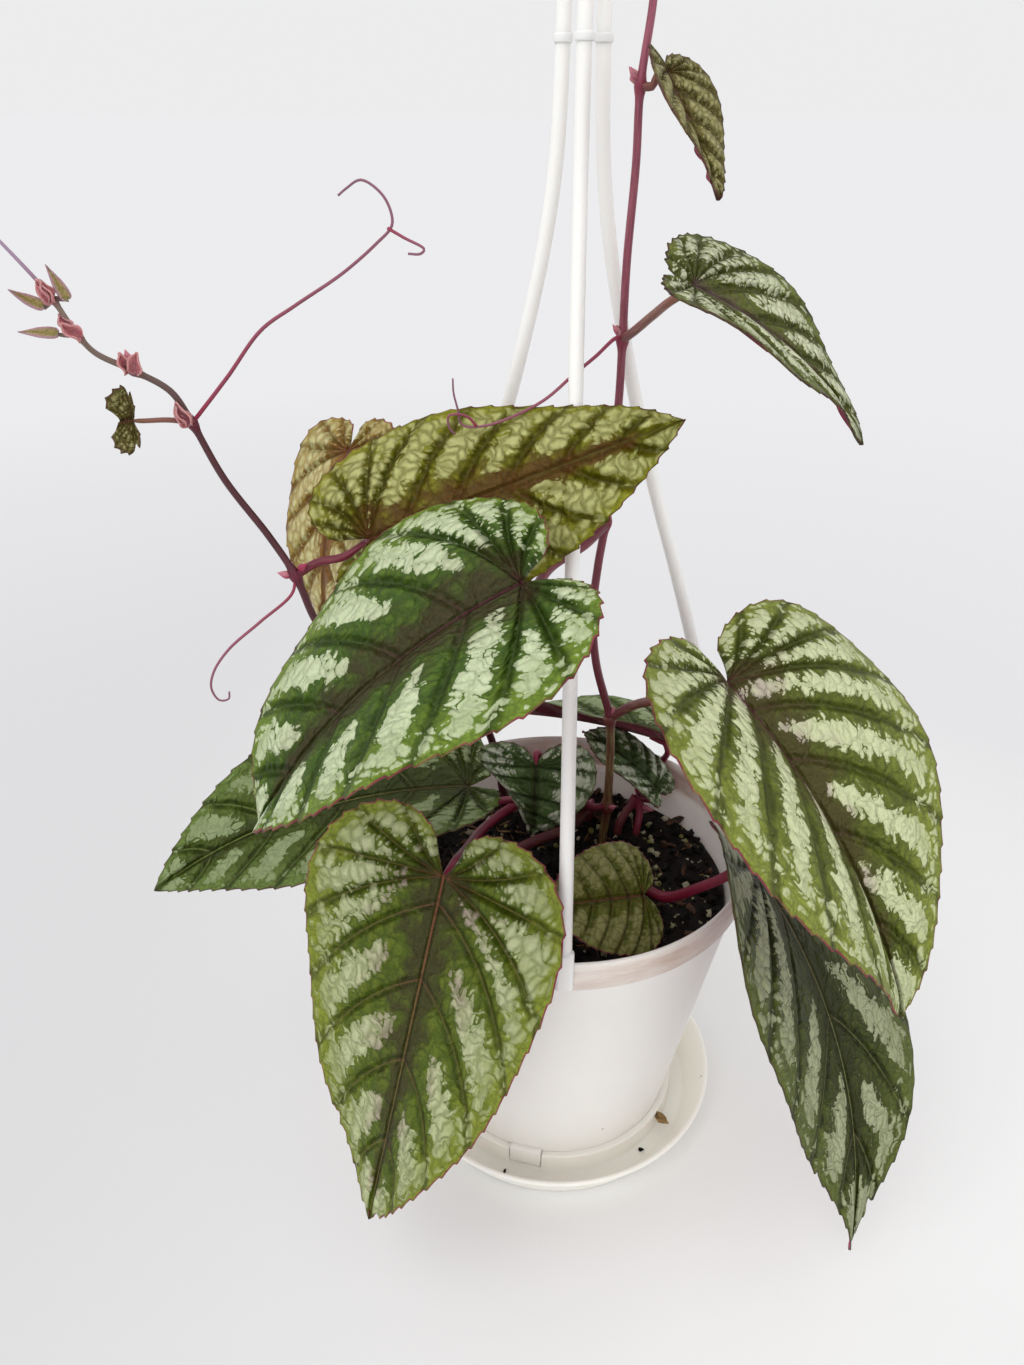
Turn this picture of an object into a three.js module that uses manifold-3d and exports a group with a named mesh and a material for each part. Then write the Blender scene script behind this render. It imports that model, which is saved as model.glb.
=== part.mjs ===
// Potted rex begonia vine: a hanging pot with a clip-on saucer and a three-strand hanger, filled with soil,
// from which two long vines and three short shoots grow. Millimetres, +Z up, origin at the middle of the
// saucer's flat underside, with the hanger raised above the pot as it is held in use.
import * as THREE from "three";
import { mergeVertices } from "three/addons/utils/BufferGeometryUtils.js";
import Module from "manifold-3d";

const wasm = await Module();
wasm.setup();

// Driving dimensions of the pot, its saucer and its hanger
const RIM_RADIUS = 70;
const RIM_TOP = 130;
const BAND_HEIGHT = 12;
const BAND_STEP = 2.6;
const FOOT_RADIUS = 46.3;
const WALL = 1.9;
const POT_FLOOR = 2.8;
const POT_FLOOR_THICK = 2.4;
const SAUCER_RADIUS = 65;
const SAUCER_HEIGHT = 15.5;
const SAUCER_FOOT_RADIUS = 57;
const SAUCER_THICK = 2.5;
const COLLAR_INNER = 47.4;
const COLLAR_OUTER = 49.3;
const COLLAR_TOP = 10.5;
const NOTCH_ANGLES = [258, 18, 138];
const NOTCH_WIDTH = 13;
const NOTCH_BOTTOM = 4;
const SOIL_TOP = 108;
const CLEARANCE = 0.35;
const ROUND_SIDES = 40;

const STRAND_RADIUS = 2.1;
const STRAND_ANGLES = { front: 272, right: 31, left: 151 };
const STRAND_FOOT = { width: 6, depth: 3.2, low: 121.5, high: 138 };
const PEG_HEIGHT = 126;
const PEG_RADIUS = 1.5;
const HUB_BOTTOM = 440;
const HUB_HEIGHT = 9;
const HUB_RADIUS = 11;
const HOOK_RADIUS = 14;

// Driving dimensions of the plant
const BLADE_THICK = 0.8;
const QUILT = 0.45;
const TOOTH = 1.3;
const SINUS_START = 0.08;
const WIDEST_AT = 0.45;
const HOLE_BOTTOM = 96;

const DEGREE = Math.PI / 180;
const up = new THREE.Vector3(0, 0, 1);
const point = (xyz) => new THREE.Vector3(...xyz);

// Closed geometry to manifold solid and back
function solidOf(geometry) {
  const bare = geometry.clone();
  bare.deleteAttribute("normal");
  bare.deleteAttribute("uv");
  const merged = mergeVertices(bare, 1e-3);
  return new wasm.Manifold(
    new wasm.Mesh({
      numProp: 3,
      vertProperties: merged.attributes.position.array,
      triVerts: new Uint32Array(merged.index.array),
    }),
  );
}

function geometryOf(solid) {
  const mesh = solid.getMesh();
  const geometry = new THREE.BufferGeometry();
  geometry.setAttribute("position", new THREE.BufferAttribute(mesh.vertProperties, 3));
  geometry.setIndex(new THREE.BufferAttribute(mesh.triVerts, 1));
  return geometry;
}

const joined = (geometries) => geometries.map(solidOf).reduce((a, b) => a.add(b));
const cut = (solid, geometries) => geometries.map(solidOf).reduce((a, b) => a.subtract(b), solid);

function geometryFrom(corners, triangles) {
  const geometry = new THREE.BufferGeometry();
  geometry.setAttribute("position", new THREE.Float32BufferAttribute(corners.flat(), 3));
  geometry.setIndex(triangles.flat());
  return geometry;
}

// A turned shape from a closed profile of [radius, height] pairs
function turned(profile, sides = ROUND_SIDES) {
  const outline = profile.map(([radius, height]) => new THREE.Vector2(radius, height));
  const geometry = new THREE.LatheGeometry(outline, sides);
  geometry.rotateX(Math.PI / 2);
  return geometry;
}

// A round bar that runs from one point to another
function bar(from, to, radius, sides = 8) {
  const direction = to.clone().sub(from);
  const geometry = new THREE.CylinderGeometry(radius, radius, direction.length(), sides);
  geometry.rotateX(Math.PI / 2);
  geometry.applyQuaternion(new THREE.Quaternion().setFromUnitVectors(up, direction.clone().normalize()));
  const middle = from.clone().add(to).multiplyScalar(0.5);
  geometry.translate(middle.x, middle.y, middle.z);
  return geometry;
}

// A stem along a smooth curve, whose radius goes evenly from its first value to its last.
// A mitre gives the plane (a point and a normal) that its far end is cut to.
function stem(points, [firstRadius, lastRadius], { sides = 6, step = 9, mitre } = {}) {
  const curve = new THREE.CatmullRomCurve3(points.map(point), false, "centripetal");
  const steps = Math.max(2, Math.round(curve.getLength() / step));
  const frames = curve.computeFrenetFrames(steps, false);
  const corners = [];
  const triangles = [];
  for (let i = 0; i <= steps; i++) {
    const centre = curve.getPointAt(i / steps);
    const radius = firstRadius + (lastRadius - firstRadius) * (i / steps);
    for (let k = 0; k < sides; k++) {
      const angle = (2 * Math.PI * k) / sides;
      const corner = centre
        .clone()
        .addScaledVector(frames.normals[i], radius * Math.cos(angle))
        .addScaledVector(frames.binormals[i], radius * Math.sin(angle));
      if (mitre && i === steps) {
        const along = frames.tangents[i];
        const away = mitre.at.clone().sub(corner).dot(mitre.normal) / along.dot(mitre.normal);
        corner.addScaledVector(along, away);
      }
      corners.push(corner.toArray());
    }
  }
  for (let i = 0; i < steps; i++) {
    for (let k = 0; k < sides; k++) {
      const a = i * sides + k;
      const b = i * sides + ((k + 1) % sides);
      triangles.push([a, b, b + sides], [a, b + sides, a + sides]);
    }
  }
  const last = steps * sides;
  for (let k = 1; k < sides - 1; k++) {
    triangles.push([0, k + 1, k], [last, last + k, last + k + 1]);
  }
  return geometryFrom(corners, triangles);
}

// A pointed bud or stipule that stands on a stem
function bud(base, direction, length, radius) {
  const profile = [[0, -0.3], [1, 0.2], [0.7, 0.6], [0, 1]];
  const geometry = turned(profile.map(([r, h]) => [r * radius, h * length]), 5);
  geometry.applyQuaternion(new THREE.Quaternion().setFromUnitVectors(up, point(direction).normalize()));
  geometry.translate(...base);
  return geometry;
}

// A swollen joint in a stem, where a leaf, a bud and a tendril leave it
function knuckle(base, radius) {
  const geometry = new THREE.SphereGeometry(radius, 7, 5);
  geometry.scale(1, 0.85, 1);
  geometry.rotateX(Math.PI / 2);
  geometry.translate(...base);
  return geometry;
}

// Half of the blade's flat outline, from the notch at its base (0) to its tip (1), as shares of
// the blade's length and of its half width. The lobe reaches back behind the base.
function marginAt(place, { lobe = 1, full = 0.5 }) {
  const bezier = (points, t) => {
    const v = points.map(([x, y]) => new THREE.Vector2(x, y));
    return new THREE.CubicBezierCurve(...v).getPoint(t);
  };
  if (place < WIDEST_AT) {
    return bezier([[0, 0.03], [-0.26 * lobe, 0.02], [-0.24 * lobe, 1], [0.17, 1]], place / WIDEST_AT);
  }
  const shoulder = [0.8 + 0.1 * full, 0.12 + 0.6 * full];
  return bezier([[0.17, 1], [0.5, 1], shoulder, [1, 0]], (place - WIDEST_AT) / (1 - WIDEST_AT));
}

// Where the vein that ends at that place of the margin leaves the midrib. Those up to `basal` leave the base.
const veinStart = (place, { basal = 0.5 }) => Math.max(0, (place - basal) / (1 - basal)) ** 1.1;

// A point of the flat blade: along the vein that ends at that place, from the midrib (0) to the margin (1)
function flatPoint(place, out, blade, extra = 0) {
  const end = marginAt(place, blade);
  const start = veinStart(place, blade);
  const bend = new THREE.Vector2(start + 0.3 * (end.x - start), 0.6 * end.y);
  const ends = [new THREE.Vector2(start, 0), bend, end];
  const found = new THREE.QuadraticBezierCurve(...ends).getPoint(out);
  found.multiply(new THREE.Vector2(blade.length, blade.width));
  const reach = end.clone().sub(bend).multiply(new THREE.Vector2(blade.length, blade.width));
  return found.addScaledVector(reach.normalize(), extra);
}

// The directions of a blade at its base: along the midrib, to its left, and up out of its face
function bladeFrame({ heading, dip, roll = 0 }) {
  const [h, d, r] = [heading * DEGREE, dip * DEGREE, roll * DEGREE];
  const along = new THREE.Vector3(Math.cos(h) * Math.cos(d), Math.sin(h) * Math.cos(d), -Math.sin(d));
  const left = new THREE.Vector3(-Math.sin(h), Math.cos(h), 0);
  const face = along.clone().cross(left);
  left.applyAxisAngle(along, r);
  face.applyAxisAngle(along, r);
  return { along, left, face };
}

// Puts a point of the flat blade, at a height over its face, in its place on the bent blade:
// each half is folded up and curls down to the margin, then the blade twists, sweeps and arches.
function bladePoint(u, v, height, blade) {
  const { length, width, fold = 0, curl = 0, twist = 0, sweep = 0, arch = 0 } = blade;
  const out = Math.abs(v);
  const side = Math.sign(v);
  const mean = (fold - (curl * out) / (2 * width)) * DEGREE;
  const slope = (fold - (curl * out) / width) * DEGREE;
  let x = u;
  let y = side * (out * Math.cos(mean) - height * Math.sin(slope));
  let z = out * Math.sin(mean) + height * Math.cos(slope);
  const turn = (twist * DEGREE * u) / length;
  [y, z] = [y * Math.cos(turn) - z * Math.sin(turn), y * Math.sin(turn) + z * Math.cos(turn)];
  if (sweep) {
    const radius = length / (sweep * DEGREE);
    [x, y] = [(radius - y) * Math.sin(x / radius), radius - (radius - y) * Math.cos(x / radius)];
  }
  if (arch) {
    const radius = length / (arch * DEGREE);
    [x, z] = [(radius + z) * Math.sin(x / radius), (radius + z) * Math.cos(x / radius) - radius];
  }
  const { along, left, face } = bladeFrame(blade);
  return point(blade.base).addScaledVector(along, x).addScaledVector(left, y).addScaledVector(face, z);
}

// A whole blade: two halves of rows, each along a vein or between two veins, with a tooth at each vein's end,
// the veins sunk and the tissue between them raised, alike on both faces.
function bladeGeometry(blade) {
  const { rows = 18, columns = [0, 0.32, 0.68, 1], wave = 1.2, waves = 3, phase = 0, tooth = TOOTH } = blade;
  const corners = [];
  const triangles = [];
  const known = new Map();
  function corner(side, row, column, top) {
    const place = SINUS_START + (1 - SINUS_START) * (row / rows);
    const atTip = row === rows;
    const onMidrib = column === 0 || atTip;
    const start = atTip ? 1 : veinStart(place, blade);
    const key = [onMidrib ? "midrib" + start : side + ":" + row + ":" + column, top].join();
    if (known.has(key)) return known.get(key);
    const out = columns[column];
    const onVein = row % 2 === 0 && row > 0;
    const flat = onMidrib
      ? new THREE.Vector2(start * blade.length, 0)
      : flatPoint(place, out, blade, onVein && out === 1 ? tooth : 0);
    const quilt = onMidrib ? 0 : (onVein ? -QUILT : QUILT) * Math.sin(Math.PI * out);
    const ripple = onMidrib ? 0 : wave * out * out * Math.sin(2 * Math.PI * (waves * place + phase + 0.3 * side));
    const height = quilt + ripple + (top ? 0.5 : -0.5) * BLADE_THICK;
    corners.push(bladePoint(flat.x, side * flat.y, height, blade).toArray());
    known.set(key, corners.length - 1);
    return corners.length - 1;
  }
  const add = (side, a, b, c) => {
    if (a === b || b === c || c === a) return;
    triangles.push(side > 0 ? [a, b, c] : [a, c, b]);
  };
  const lastColumn = columns.length - 1;
  for (const side of [1, -1]) {
    for (let row = 0; row < rows; row++) {
      for (let column = 0; column < lastColumn; column++) {
        for (const top of [true, false]) {
          const facing = top ? side : -side;
          const near = corner(side, row, column, top);
          const far = corner(side, row + 1, column, top);
          const nearOut = corner(side, row, column + 1, top);
          const farOut = corner(side, row + 1, column + 1, top);
          add(facing, near, far, farOut);
          add(facing, near, farOut, nearOut);
        }
      }
      const [a, b] = [corner(side, row, lastColumn, true), corner(side, row + 1, lastColumn, true)];
      const [c, d] = [corner(side, row, lastColumn, false), corner(side, row + 1, lastColumn, false)];
      add(side, a, b, d);
      add(side, a, d, c);
    }
    for (let column = 0; column < lastColumn; column++) {
      const [a, b] = [corner(side, 0, column, true), corner(side, 0, column + 1, true)];
      const [c, d] = [corner(side, 0, column, false), corner(side, 0, column + 1, false)];
      add(side, a, b, d);
      add(side, a, d, c);
    }
  }
  return geometryFrom(corners, triangles);
}

// A leaf stalk that comes up under the blade's base over its last stretch and stops just short of it
function stalk(points, radii, blade, { rise = 5, ...options } = {}) {
  const { along, face } = bladeFrame(blade);
  const droop = Math.max(0, -Math.tan((blade.fold ?? 0) * DEGREE)) * radii[1];
  const seat = point(blade.base).addScaledVector(face, -(BLADE_THICK / 2 + CLEARANCE + droop));
  const comingIn = along.clone().multiplyScalar(0.55).addScaledVector(face, 0.84);
  const before = seat.clone().addScaledVector(comingIn, -rise);
  const mitre = { at: seat, normal: face };
  return stem([...points, before.toArray(), seat.toArray()], radii, { step: 8, mitre, ...options });
}

// The leaves. Heading is the compass direction of the tip (0 is +X, 90 is +Y), dip how far it points
// down, roll how far its left side is raised. Lengths are the midrib's, widths a half blade's.
const small = { rows: 12, columns: [0, 0.5, 1], wave: 0.6, waves: 2, tooth: 0.8 };
const scale = { ...small, roll: -60, fold: 20, lobe: 0.3, full: 0.2, rows: 6, tooth: 0.2, wave: 0 };
const LEAVES = {
  leaf_middle: { base: [-12, -69, 261], length: 106, width: 42, heading: 202, dip: 20, roll: -15,
    arch: 48, fold: 23, curl: 37, twist: 6, lobe: 0.76, full: 0.56, phase: 0.1, wave: 1.4 },
  leaf_front: { base: [-36.5, -59, 155], length: 126, width: 47, heading: 238, dip: 68, roll: -10,
    arch: 1, fold: 7, twist: 27, lobe: 0.91, full: 0.6, phase: 0.4, wave: 1.6, basal: 0.55 },
  leaf_right: { base: [50, -33, 214], length: 124, width: 56, heading: 318, dip: 30, roll: -5,
    arch: 47, fold: 34, curl: 46, sweep: 13, twist: 7, lobe: 0.78, full: 0.18, phase: 0.2, wave: 1.4,
    basal: 0.56 },
  leaf_right_low: { base: [67, -28, 139], length: 143, width: 50, heading: 321, dip: 41, roll: -24,
    arch: 44, fold: 11, curl: 12, twist: 49, lobe: 0.9, full: 0.02, phase: 0.7, wave: 1.8, basal: 0.6 },
  leaf_left_low: { base: [-34, -6, 153.5], length: 125, width: 39, heading: 189, dip: -3, roll: 2,
    arch: 42, fold: 13, twist: -52, lobe: 0.5, full: 0.34, phase: 0.5, wave: 1.2 },
  leaf_across: { base: [-58, -35.6, 259.4], length: 96, width: 31, heading: 355, dip: -24, roll: 72.5,
    arch: 9, fold: -14, curl: 13, twist: -17, full: 0.49, phase: 0.3, wave: 1.2 },
  leaf_behind: { base: [-73, 14, 271], length: 67, width: 29, heading: 238, dip: 53, roll: 17,
    arch: 37, curl: -8, twist: 8, full: 0.5, phase: 0.6, rows: 16 },
  leaf_back: { base: [42, 51, 141], length: 81, width: 29, heading: 163, dip: -8, roll: 19,
    arch: 18, fold: 20, curl: 8, twist: 10, lobe: 0.7, full: 0.53, phase: 0.8, rows: 16 },
  leaf_climbing: { base: [30, -34, 330], length: 68, width: 24, heading: 1, dip: 23, roll: 18,
    arch: 35, fold: 12, curl: -1, twist: 4, lobe: 0.78, full: 0, phase: 0.2, rows: 16, wave: 0.8,
    basal: 0.6 },
  leaf_climbing_top: { ...small, base: [21, -14, 378], length: 35, width: 13, heading: 315, dip: 52,
    roll: -8, arch: 4, fold: 18, curl: 4, twist: -4, lobe: 0.82, full: 0.45 },
  leaf_soil: { ...small, base: [30, -26, 123], length: 41, width: 20, heading: 217, dip: -20,
    roll: -46, arch: 10, fold: 7, curl: 11, lobe: 0.88, full: 1.06, phase: 0.3 },
  leaf_crown: { ...small, base: [-9, -19, 172], length: 41, width: 24, heading: 254, dip: 83,
    roll: -18, arch: 48, fold: -22, curl: 16, twist: 33, full: 0, phase: 0.6 },
  leaf_crown_young: { ...small, base: [37, 31, 131], length: 37, width: 16, heading: 151, dip: -42,
    roll: 11, arch: 32, fold: 12, curl: 10, twist: -15, full: 0.59, wave: 1.2 },
  leaf_lobed_young: { ...small, base: [-118, -46, 296], length: 9.5, width: 9, heading: 184, dip: 6,
    roll: -70, fold: 10, full: 0.2, rows: 8, tooth: 1.2, wave: 0.8 },
  tip_blade_low: { ...scale, base: [-131.5, -51.5, 319.5], length: 10, width: 1.6, heading: 184, dip: -2 },
  tip_blade_left: { ...scale, base: [-132.5, -54, 326.5], length: 9, width: 1.6, heading: 185, dip: -20,
    arch: -60 },
  tip_blade_right: { ...scale, base: [-127, -52, 328], length: 9, width: 1.6, heading: 182, dip: -64,
    arch: -12 },
  crest_blade: { ...small, base: [15, -18, 424], length: 17, width: 5, heading: 290, dip: -20,
    fold: 25, arch: 40, lobe: 0.6, full: 0.3, rows: 8, tooth: 0.4, wave: 0 },
};

// Stem routes, from the soil up
const TALL_ROOT = [17, 23];
const LONG_ROOT = [-24, 42];
const CROWN_ROOT = [11, 39];
const RUNNER_ROOT = [-35, -15];
const SIDE_ROOTS = [[24, 32], [31, 30]];
const FRONT_ROOT = [22, 4];
const rooted = ([x, y]) => [[x, y, HOLE_BOTTOM + 1], [x, y, SOIL_TOP + 3]];

const TALL_ROUTE = [...rooted(TALL_ROOT), [18, 22, 126], [18, 21, 158], [17, 19, 171], [11, 16, 194],
  [9, 13, 216], [10, 10, 234], [12, 8, 252], [14, 4, 292], [14, 0, 310], [14, -3, 332], [15, -6, 357],
  [15, -8, 375], [17, -10, 394], [17, -12, 411], [14, -13, 427], [10, -14, 436]];
const LONG_ROUTE = [...rooted(LONG_ROOT), [-26, 41, 130], [-30, 36, 152], [-38, 24, 172], [-50, 4, 190],
  [-64, -18, 208], [-74, -28, 222], [-78, -30, 231], [-82, -32, 246],
  [-88, -34, 259], [-98, -37, 277], [-104, -40, 294], [-108, -42, 303], [-116, -45, 309],
  [-124, -48, 314], [-127, -50, 319], [-130.5, -52.3, 328]];
const TIP_THREAD_ROUTE = [[-130.5, -52.3, 328], [-133, -53, 332], [-140, -55, 342], [-147, -58, 352],
  [-153, -60, 358]];
const RUNNER_ROUTE = [[11, 39, 114], [5, 27, 114], [0, 18, 117], [-10, 10, 118], [-21, 0, 118],
  [-30, -9, 116], [...RUNNER_ROOT, 110], [...RUNNER_ROOT, HOLE_BOTTOM + 1]];
const thread = { sides: 5, step: 8 };

function vineTall() {
  const { leaf_right, leaf_middle, leaf_climbing, leaf_climbing_top, leaf_crown, crest_blade } = LEAVES;
  const joint = { crown: [17.5, 22.5, 127], right: [17.5, 20, 169], middle: [12, 8, 250],
    climbing: [14, 0, 310], top: [15, -8, 375], crest: [17, -12, 412] };
  return joined([
    stem(TALL_ROUTE, [1.65, 0.9], { step: 11 }),
    knuckle(joint.crown, 2.8),
    knuckle(joint.right, 2.5),
    knuckle(joint.middle, 2.1),
    knuckle(joint.climbing, 1.9),
    knuckle(joint.top, 1.5),
    bud([19, 20, 128], [0.8, -0.3, 0.5], 3.4, 1.2),
    bud([18, 18.5, 171], [0.1, -0.2, 1], 4.5, 1.4),
    bud([13.1, -0.9, 311.6], [-0.6, -0.3, 0.8], 4, 1.1),
    bud([14, -8.5, 376], [-0.6, -0.2, 0.9], 4.2, 0.9),
    bud([10, -14, 436], [-0.5, -0.2, 1], 5, 1.1),
    stalk([joint.crown, [12, 17, 130], [5, 6, 144], [-2, -8, 158]], [1.5, 1.2], leaf_crown),
    stalk([joint.right, [23, 14, 177], [29, 3, 186], [37, -13, 196]], [1.8, 1.6], leaf_right),
    stalk([joint.middle, [5, -4, 247], [-6, -20, 245], [-11, -42, 243]], [1.6, 1.4], leaf_middle),
    stalk([joint.climbing, [17, -8, 314], [21, -19, 320]], [1.3, 1.1], leaf_climbing),
    stalk([joint.top, [18, -10, 375]], [1.1, 0.9], leaf_climbing_top, { step: 4, sides: 5, rise: 3 }),
    stalk([joint.crest, [16, -15, 416]], [0.8, 0.6], crest_blade, { step: 4, sides: 5, rise: 3 }),
    stem([joint.climbing, [12, -3, 311], [6, -10, 307], [0, -15, 303], [-8, -20, 297], [-17, -24, 293],
      [-25, -27, 291], [-31, -28, 291.5], [-32, -29, 296], [-33, -30, 301], [-33, -31, 305]],
      [0.6, 0.4], thread),
    stem([[-27, -27.5, 291], [-29, -28, 293.5], [-32, -30, 295], [-34.5, -30.5, 294.5], [-34.5, -30, 291.5],
      [-33, -29, 289]], [0.45, 0.4], { sides: 5, step: 2.5 }),
  ]);
}

function vineLong() {
  const { leaf_across, leaf_behind, leaf_lobed_young } = LEAVES;
  const joint = { behind: [-50, 4, 190], across: [-82, -32, 246], young: [-104, -40, 294],
    upper: [-116, -45, 309], tip: [-127, -50, 319], last: [-130.5, -52.3, 328] };
  const short = { step: 4, sides: 5, rise: 3 };
  const tiny = { step: 2, sides: 5, rise: 1 };
  return joined([
    stem(LONG_ROUTE, [1.6, 0.65], { step: 11 }),
    stem(TIP_THREAD_ROUTE, [0.5, 0.4], thread),
    knuckle(joint.behind, 2),
    knuckle(joint.across, 2),
    knuckle(joint.young, 1.7),
    knuckle(joint.upper, 1.4),
    knuckle(joint.tip, 1.2),
    knuckle(joint.last, 1.1),
    bud([-80.5, -32.5, 248], [0.6, -0.3, 0.6], 4.2, 1.3),
    bud([-83.5, -32.5, 246], [-1, -0.1, 0.3], 4, 1.4),
    bud([-105, -41, 295], [-0.7, -0.5, 0.7], 6.5, 1.7),
    bud([-105.5, -40, 297], [-0.9, 0.1, 0.7], 6, 1.6),
    bud([-116.3, -45, 310], [-0.1, -0.3, 1], 5.5, 2),
    bud([-127.4, -50.6, 319.8], [-0.5, -0.5, 0.7], 4, 1.4),
    bud([-130.8, -52.8, 328.6], [-0.4, -0.6, 0.7], 4, 1.3),
    stalk([joint.behind, [-51, 12, 212], [-55, 22, 242], [-64, 25, 260]], [1.5, 1.2], leaf_behind),
    stalk([joint.across, [-75, -31, 250], [-67, -31, 252]], [1.3, 1.2], leaf_across),
    stalk([joint.young, [-109, -43, 295.5]], [0.75, 0.65], leaf_lobed_young, short),
    stalk([joint.tip], [0.7, 0.5], LEAVES.tip_blade_low, tiny),
    stalk([joint.last], [0.7, 0.5], LEAVES.tip_blade_left, tiny),
    stalk([joint.last], [0.7, 0.5], LEAVES.tip_blade_right, tiny),
    stem([joint.across, [-83, -34, 241], [-92, -40, 234], [-101, -45, 227], [-106, -47, 220], [-107, -48, 215],
      [-105, -48, 211], [-102.5, -47, 211], [-102, -47, 213.5]], [0.5, 0.4], { sides: 5, step: 6 }),
    stem([joint.young, [-92, -42, 307], [-81, -44, 319.5], [-71, -46, 326], [-58, -47, 334], [-49, -48, 341],
      [-45, -48, 345], [-45, -48, 348], [-47, -48, 352], [-52, -47, 355], [-56, -46, 353], [-58, -46, 351.5]],
      [0.6, 0.4], { sides: 5, step: 7 }),
    stem([[-46, -48, 344.5], [-42, -49, 342.5], [-37, -50, 340], [-38, -50, 339], [-41, -50, 339]],
      [0.45, 0.4], { sides: 5, step: 3 }),
  ]);
}

function crownShoot() {
  const { leaf_front, leaf_left_low } = LEAVES;
  const head = [11, 39, 114];
  return joined([
    stem([...rooted(CROWN_ROOT), [11, 39, 115]], [2.1, 2.1], { step: 8 }),
    stem(RUNNER_ROUTE, [2, 1.9]),
    knuckle(head, 3),
    bud([12, 38, 116], [0.2, -0.3, 1], 5, 1.6),
    stalk([head, [-2, 33, 121], [-16, 25, 125], [-28, 3, 130], [-33, -20, 137]], [2, 1.6], leaf_front),
    stalk([head, [3, 26, 126], [-9, 12, 137]], [1.7, 1.4], leaf_left_low),
  ]);
}

function sideShoot() {
  const { leaf_back, leaf_crown_young } = LEAVES;
  const head = [31, 36, 122];
  return joined([
    stem([...rooted(SIDE_ROOTS[0]), [27, 34, 117], head], [1.7, 1.6]),
    stem([...rooted(SIDE_ROOTS[1]), [32, 33, 117], head], [1.5, 1.5]),
    knuckle(head, 2.8),
    bud([33, 34, 119], [0.7, -0.5, 0.1], 5.5, 2),
    bud([31, 37, 124], [0, 0.2, 1], 4.5, 1.4),
    stalk([head, [35, 45, 123], [42, 53, 130]], [1.5, 1.2], leaf_back, { rise: 4 }),
    stalk([head, [37, 32, 124]], [1.3, 1], leaf_crown_young, { rise: 4 }),
  ]);
}

function frontShoot() {
  const { leaf_right_low, leaf_soil } = LEAVES;
  const head = [22, 4, 112];
  return joined([
    stem([...rooted(FRONT_ROOT), [22, 4, 113]], [1.9, 1.9], { step: 8 }),
    knuckle(head, 2.6),
    stalk([head, [31, -10, 114], [39, -18, 116], [50, -24, 126], [59, -26.5, 134]], [2.1, 1.8], leaf_right_low),
    stalk([head, [27, -6, 115]], [1.4, 1.2], leaf_soil),
  ]);
}

// The pot: a tapered cup with a thicker rim band, three holes for the hanger's pegs and drain holes
function pot() {
  const bandBottom = RIM_TOP - BAND_HEIGHT;
  const shoulder = RIM_RADIUS - BAND_STEP;
  const inside = POT_FLOOR + POT_FLOOR_THICK;
  const shell = turned([
    [0, POT_FLOOR + 0.8], [38, POT_FLOOR + 0.8], [39, POT_FLOOR], [43, POT_FLOOR], [45.4, POT_FLOOR + 1.9],
    [FOOT_RADIUS, POT_FLOOR + 5.2], [shoulder, bandBottom - 0.6], [RIM_RADIUS - 0.6, bandBottom + 0.4],
    [RIM_RADIUS, bandBottom + 1.6], [RIM_RADIUS, RIM_TOP - 0.8], [RIM_RADIUS - 0.7, RIM_TOP],
    [RIM_RADIUS - WALL + 0.5, RIM_TOP], [RIM_RADIUS - WALL, RIM_TOP - 0.8],
    [RIM_RADIUS - WALL - 0.6, bandBottom], [shoulder - WALL, bandBottom - 3],
    [FOOT_RADIUS - WALL, inside + 3.5], [FOOT_RADIUS - WALL - 2.5, inside], [0, inside],
  ]);
  const holes = Object.values(STRAND_ANGLES).map((angle) => {
    const out = new THREE.Vector3(Math.cos(angle * DEGREE), Math.sin(angle * DEGREE), 0);
    const from = out.clone().multiplyScalar(RIM_RADIUS - 6).setZ(PEG_HEIGHT);
    const to = out.clone().multiplyScalar(RIM_RADIUS + 3).setZ(PEG_HEIGHT);
    return bar(from, to, PEG_RADIUS + CLEARANCE);
  });
  const drains = [0, 60, 120, 180, 240, 300].map((angle) => {
    const x = 26 * Math.cos(angle * DEGREE);
    const y = 26 * Math.sin(angle * DEGREE);
    return bar(point([x, y, 0]), point([x, y, inside + 2]), 4, 7);
  });
  return cut(solidOf(shell), [...holes, ...drains]);
}

// The saucer: a dish with a collar that clips round the pot's foot, and three notches in the collar's top
function saucer() {
  const dish = turned([
    [0, 0], [SAUCER_FOOT_RADIUS - 1.2, 0], [SAUCER_FOOT_RADIUS, 0.8], [SAUCER_RADIUS - 0.6, SAUCER_HEIGHT - 1.4],
    [SAUCER_RADIUS, SAUCER_HEIGHT - 0.8], [SAUCER_RADIUS - 0.4, SAUCER_HEIGHT],
    [SAUCER_RADIUS - 1.4, SAUCER_HEIGHT], [SAUCER_RADIUS - 2.2, SAUCER_HEIGHT - 1.2],
    [SAUCER_FOOT_RADIUS - 1, SAUCER_THICK + 0.8], [SAUCER_FOOT_RADIUS - 2.2, SAUCER_THICK],
    [COLLAR_OUTER, SAUCER_THICK], [COLLAR_OUTER, COLLAR_TOP - 0.4], [COLLAR_OUTER - 0.5, COLLAR_TOP],
    [COLLAR_INNER, COLLAR_TOP], [COLLAR_INNER, SAUCER_THICK], [0, SAUCER_THICK],
  ]);
  const notches = NOTCH_ANGLES.map((angle) => {
    const notch = new THREE.BoxGeometry(8, NOTCH_WIDTH, 2 * (COLLAR_TOP - NOTCH_BOTTOM));
    notch.translate((COLLAR_INNER + COLLAR_OUTER) / 2, 0, COLLAR_TOP);
    notch.rotateZ(angle * DEGREE);
    return notch;
  });
  return cut(solidOf(dish), notches);
}

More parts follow.
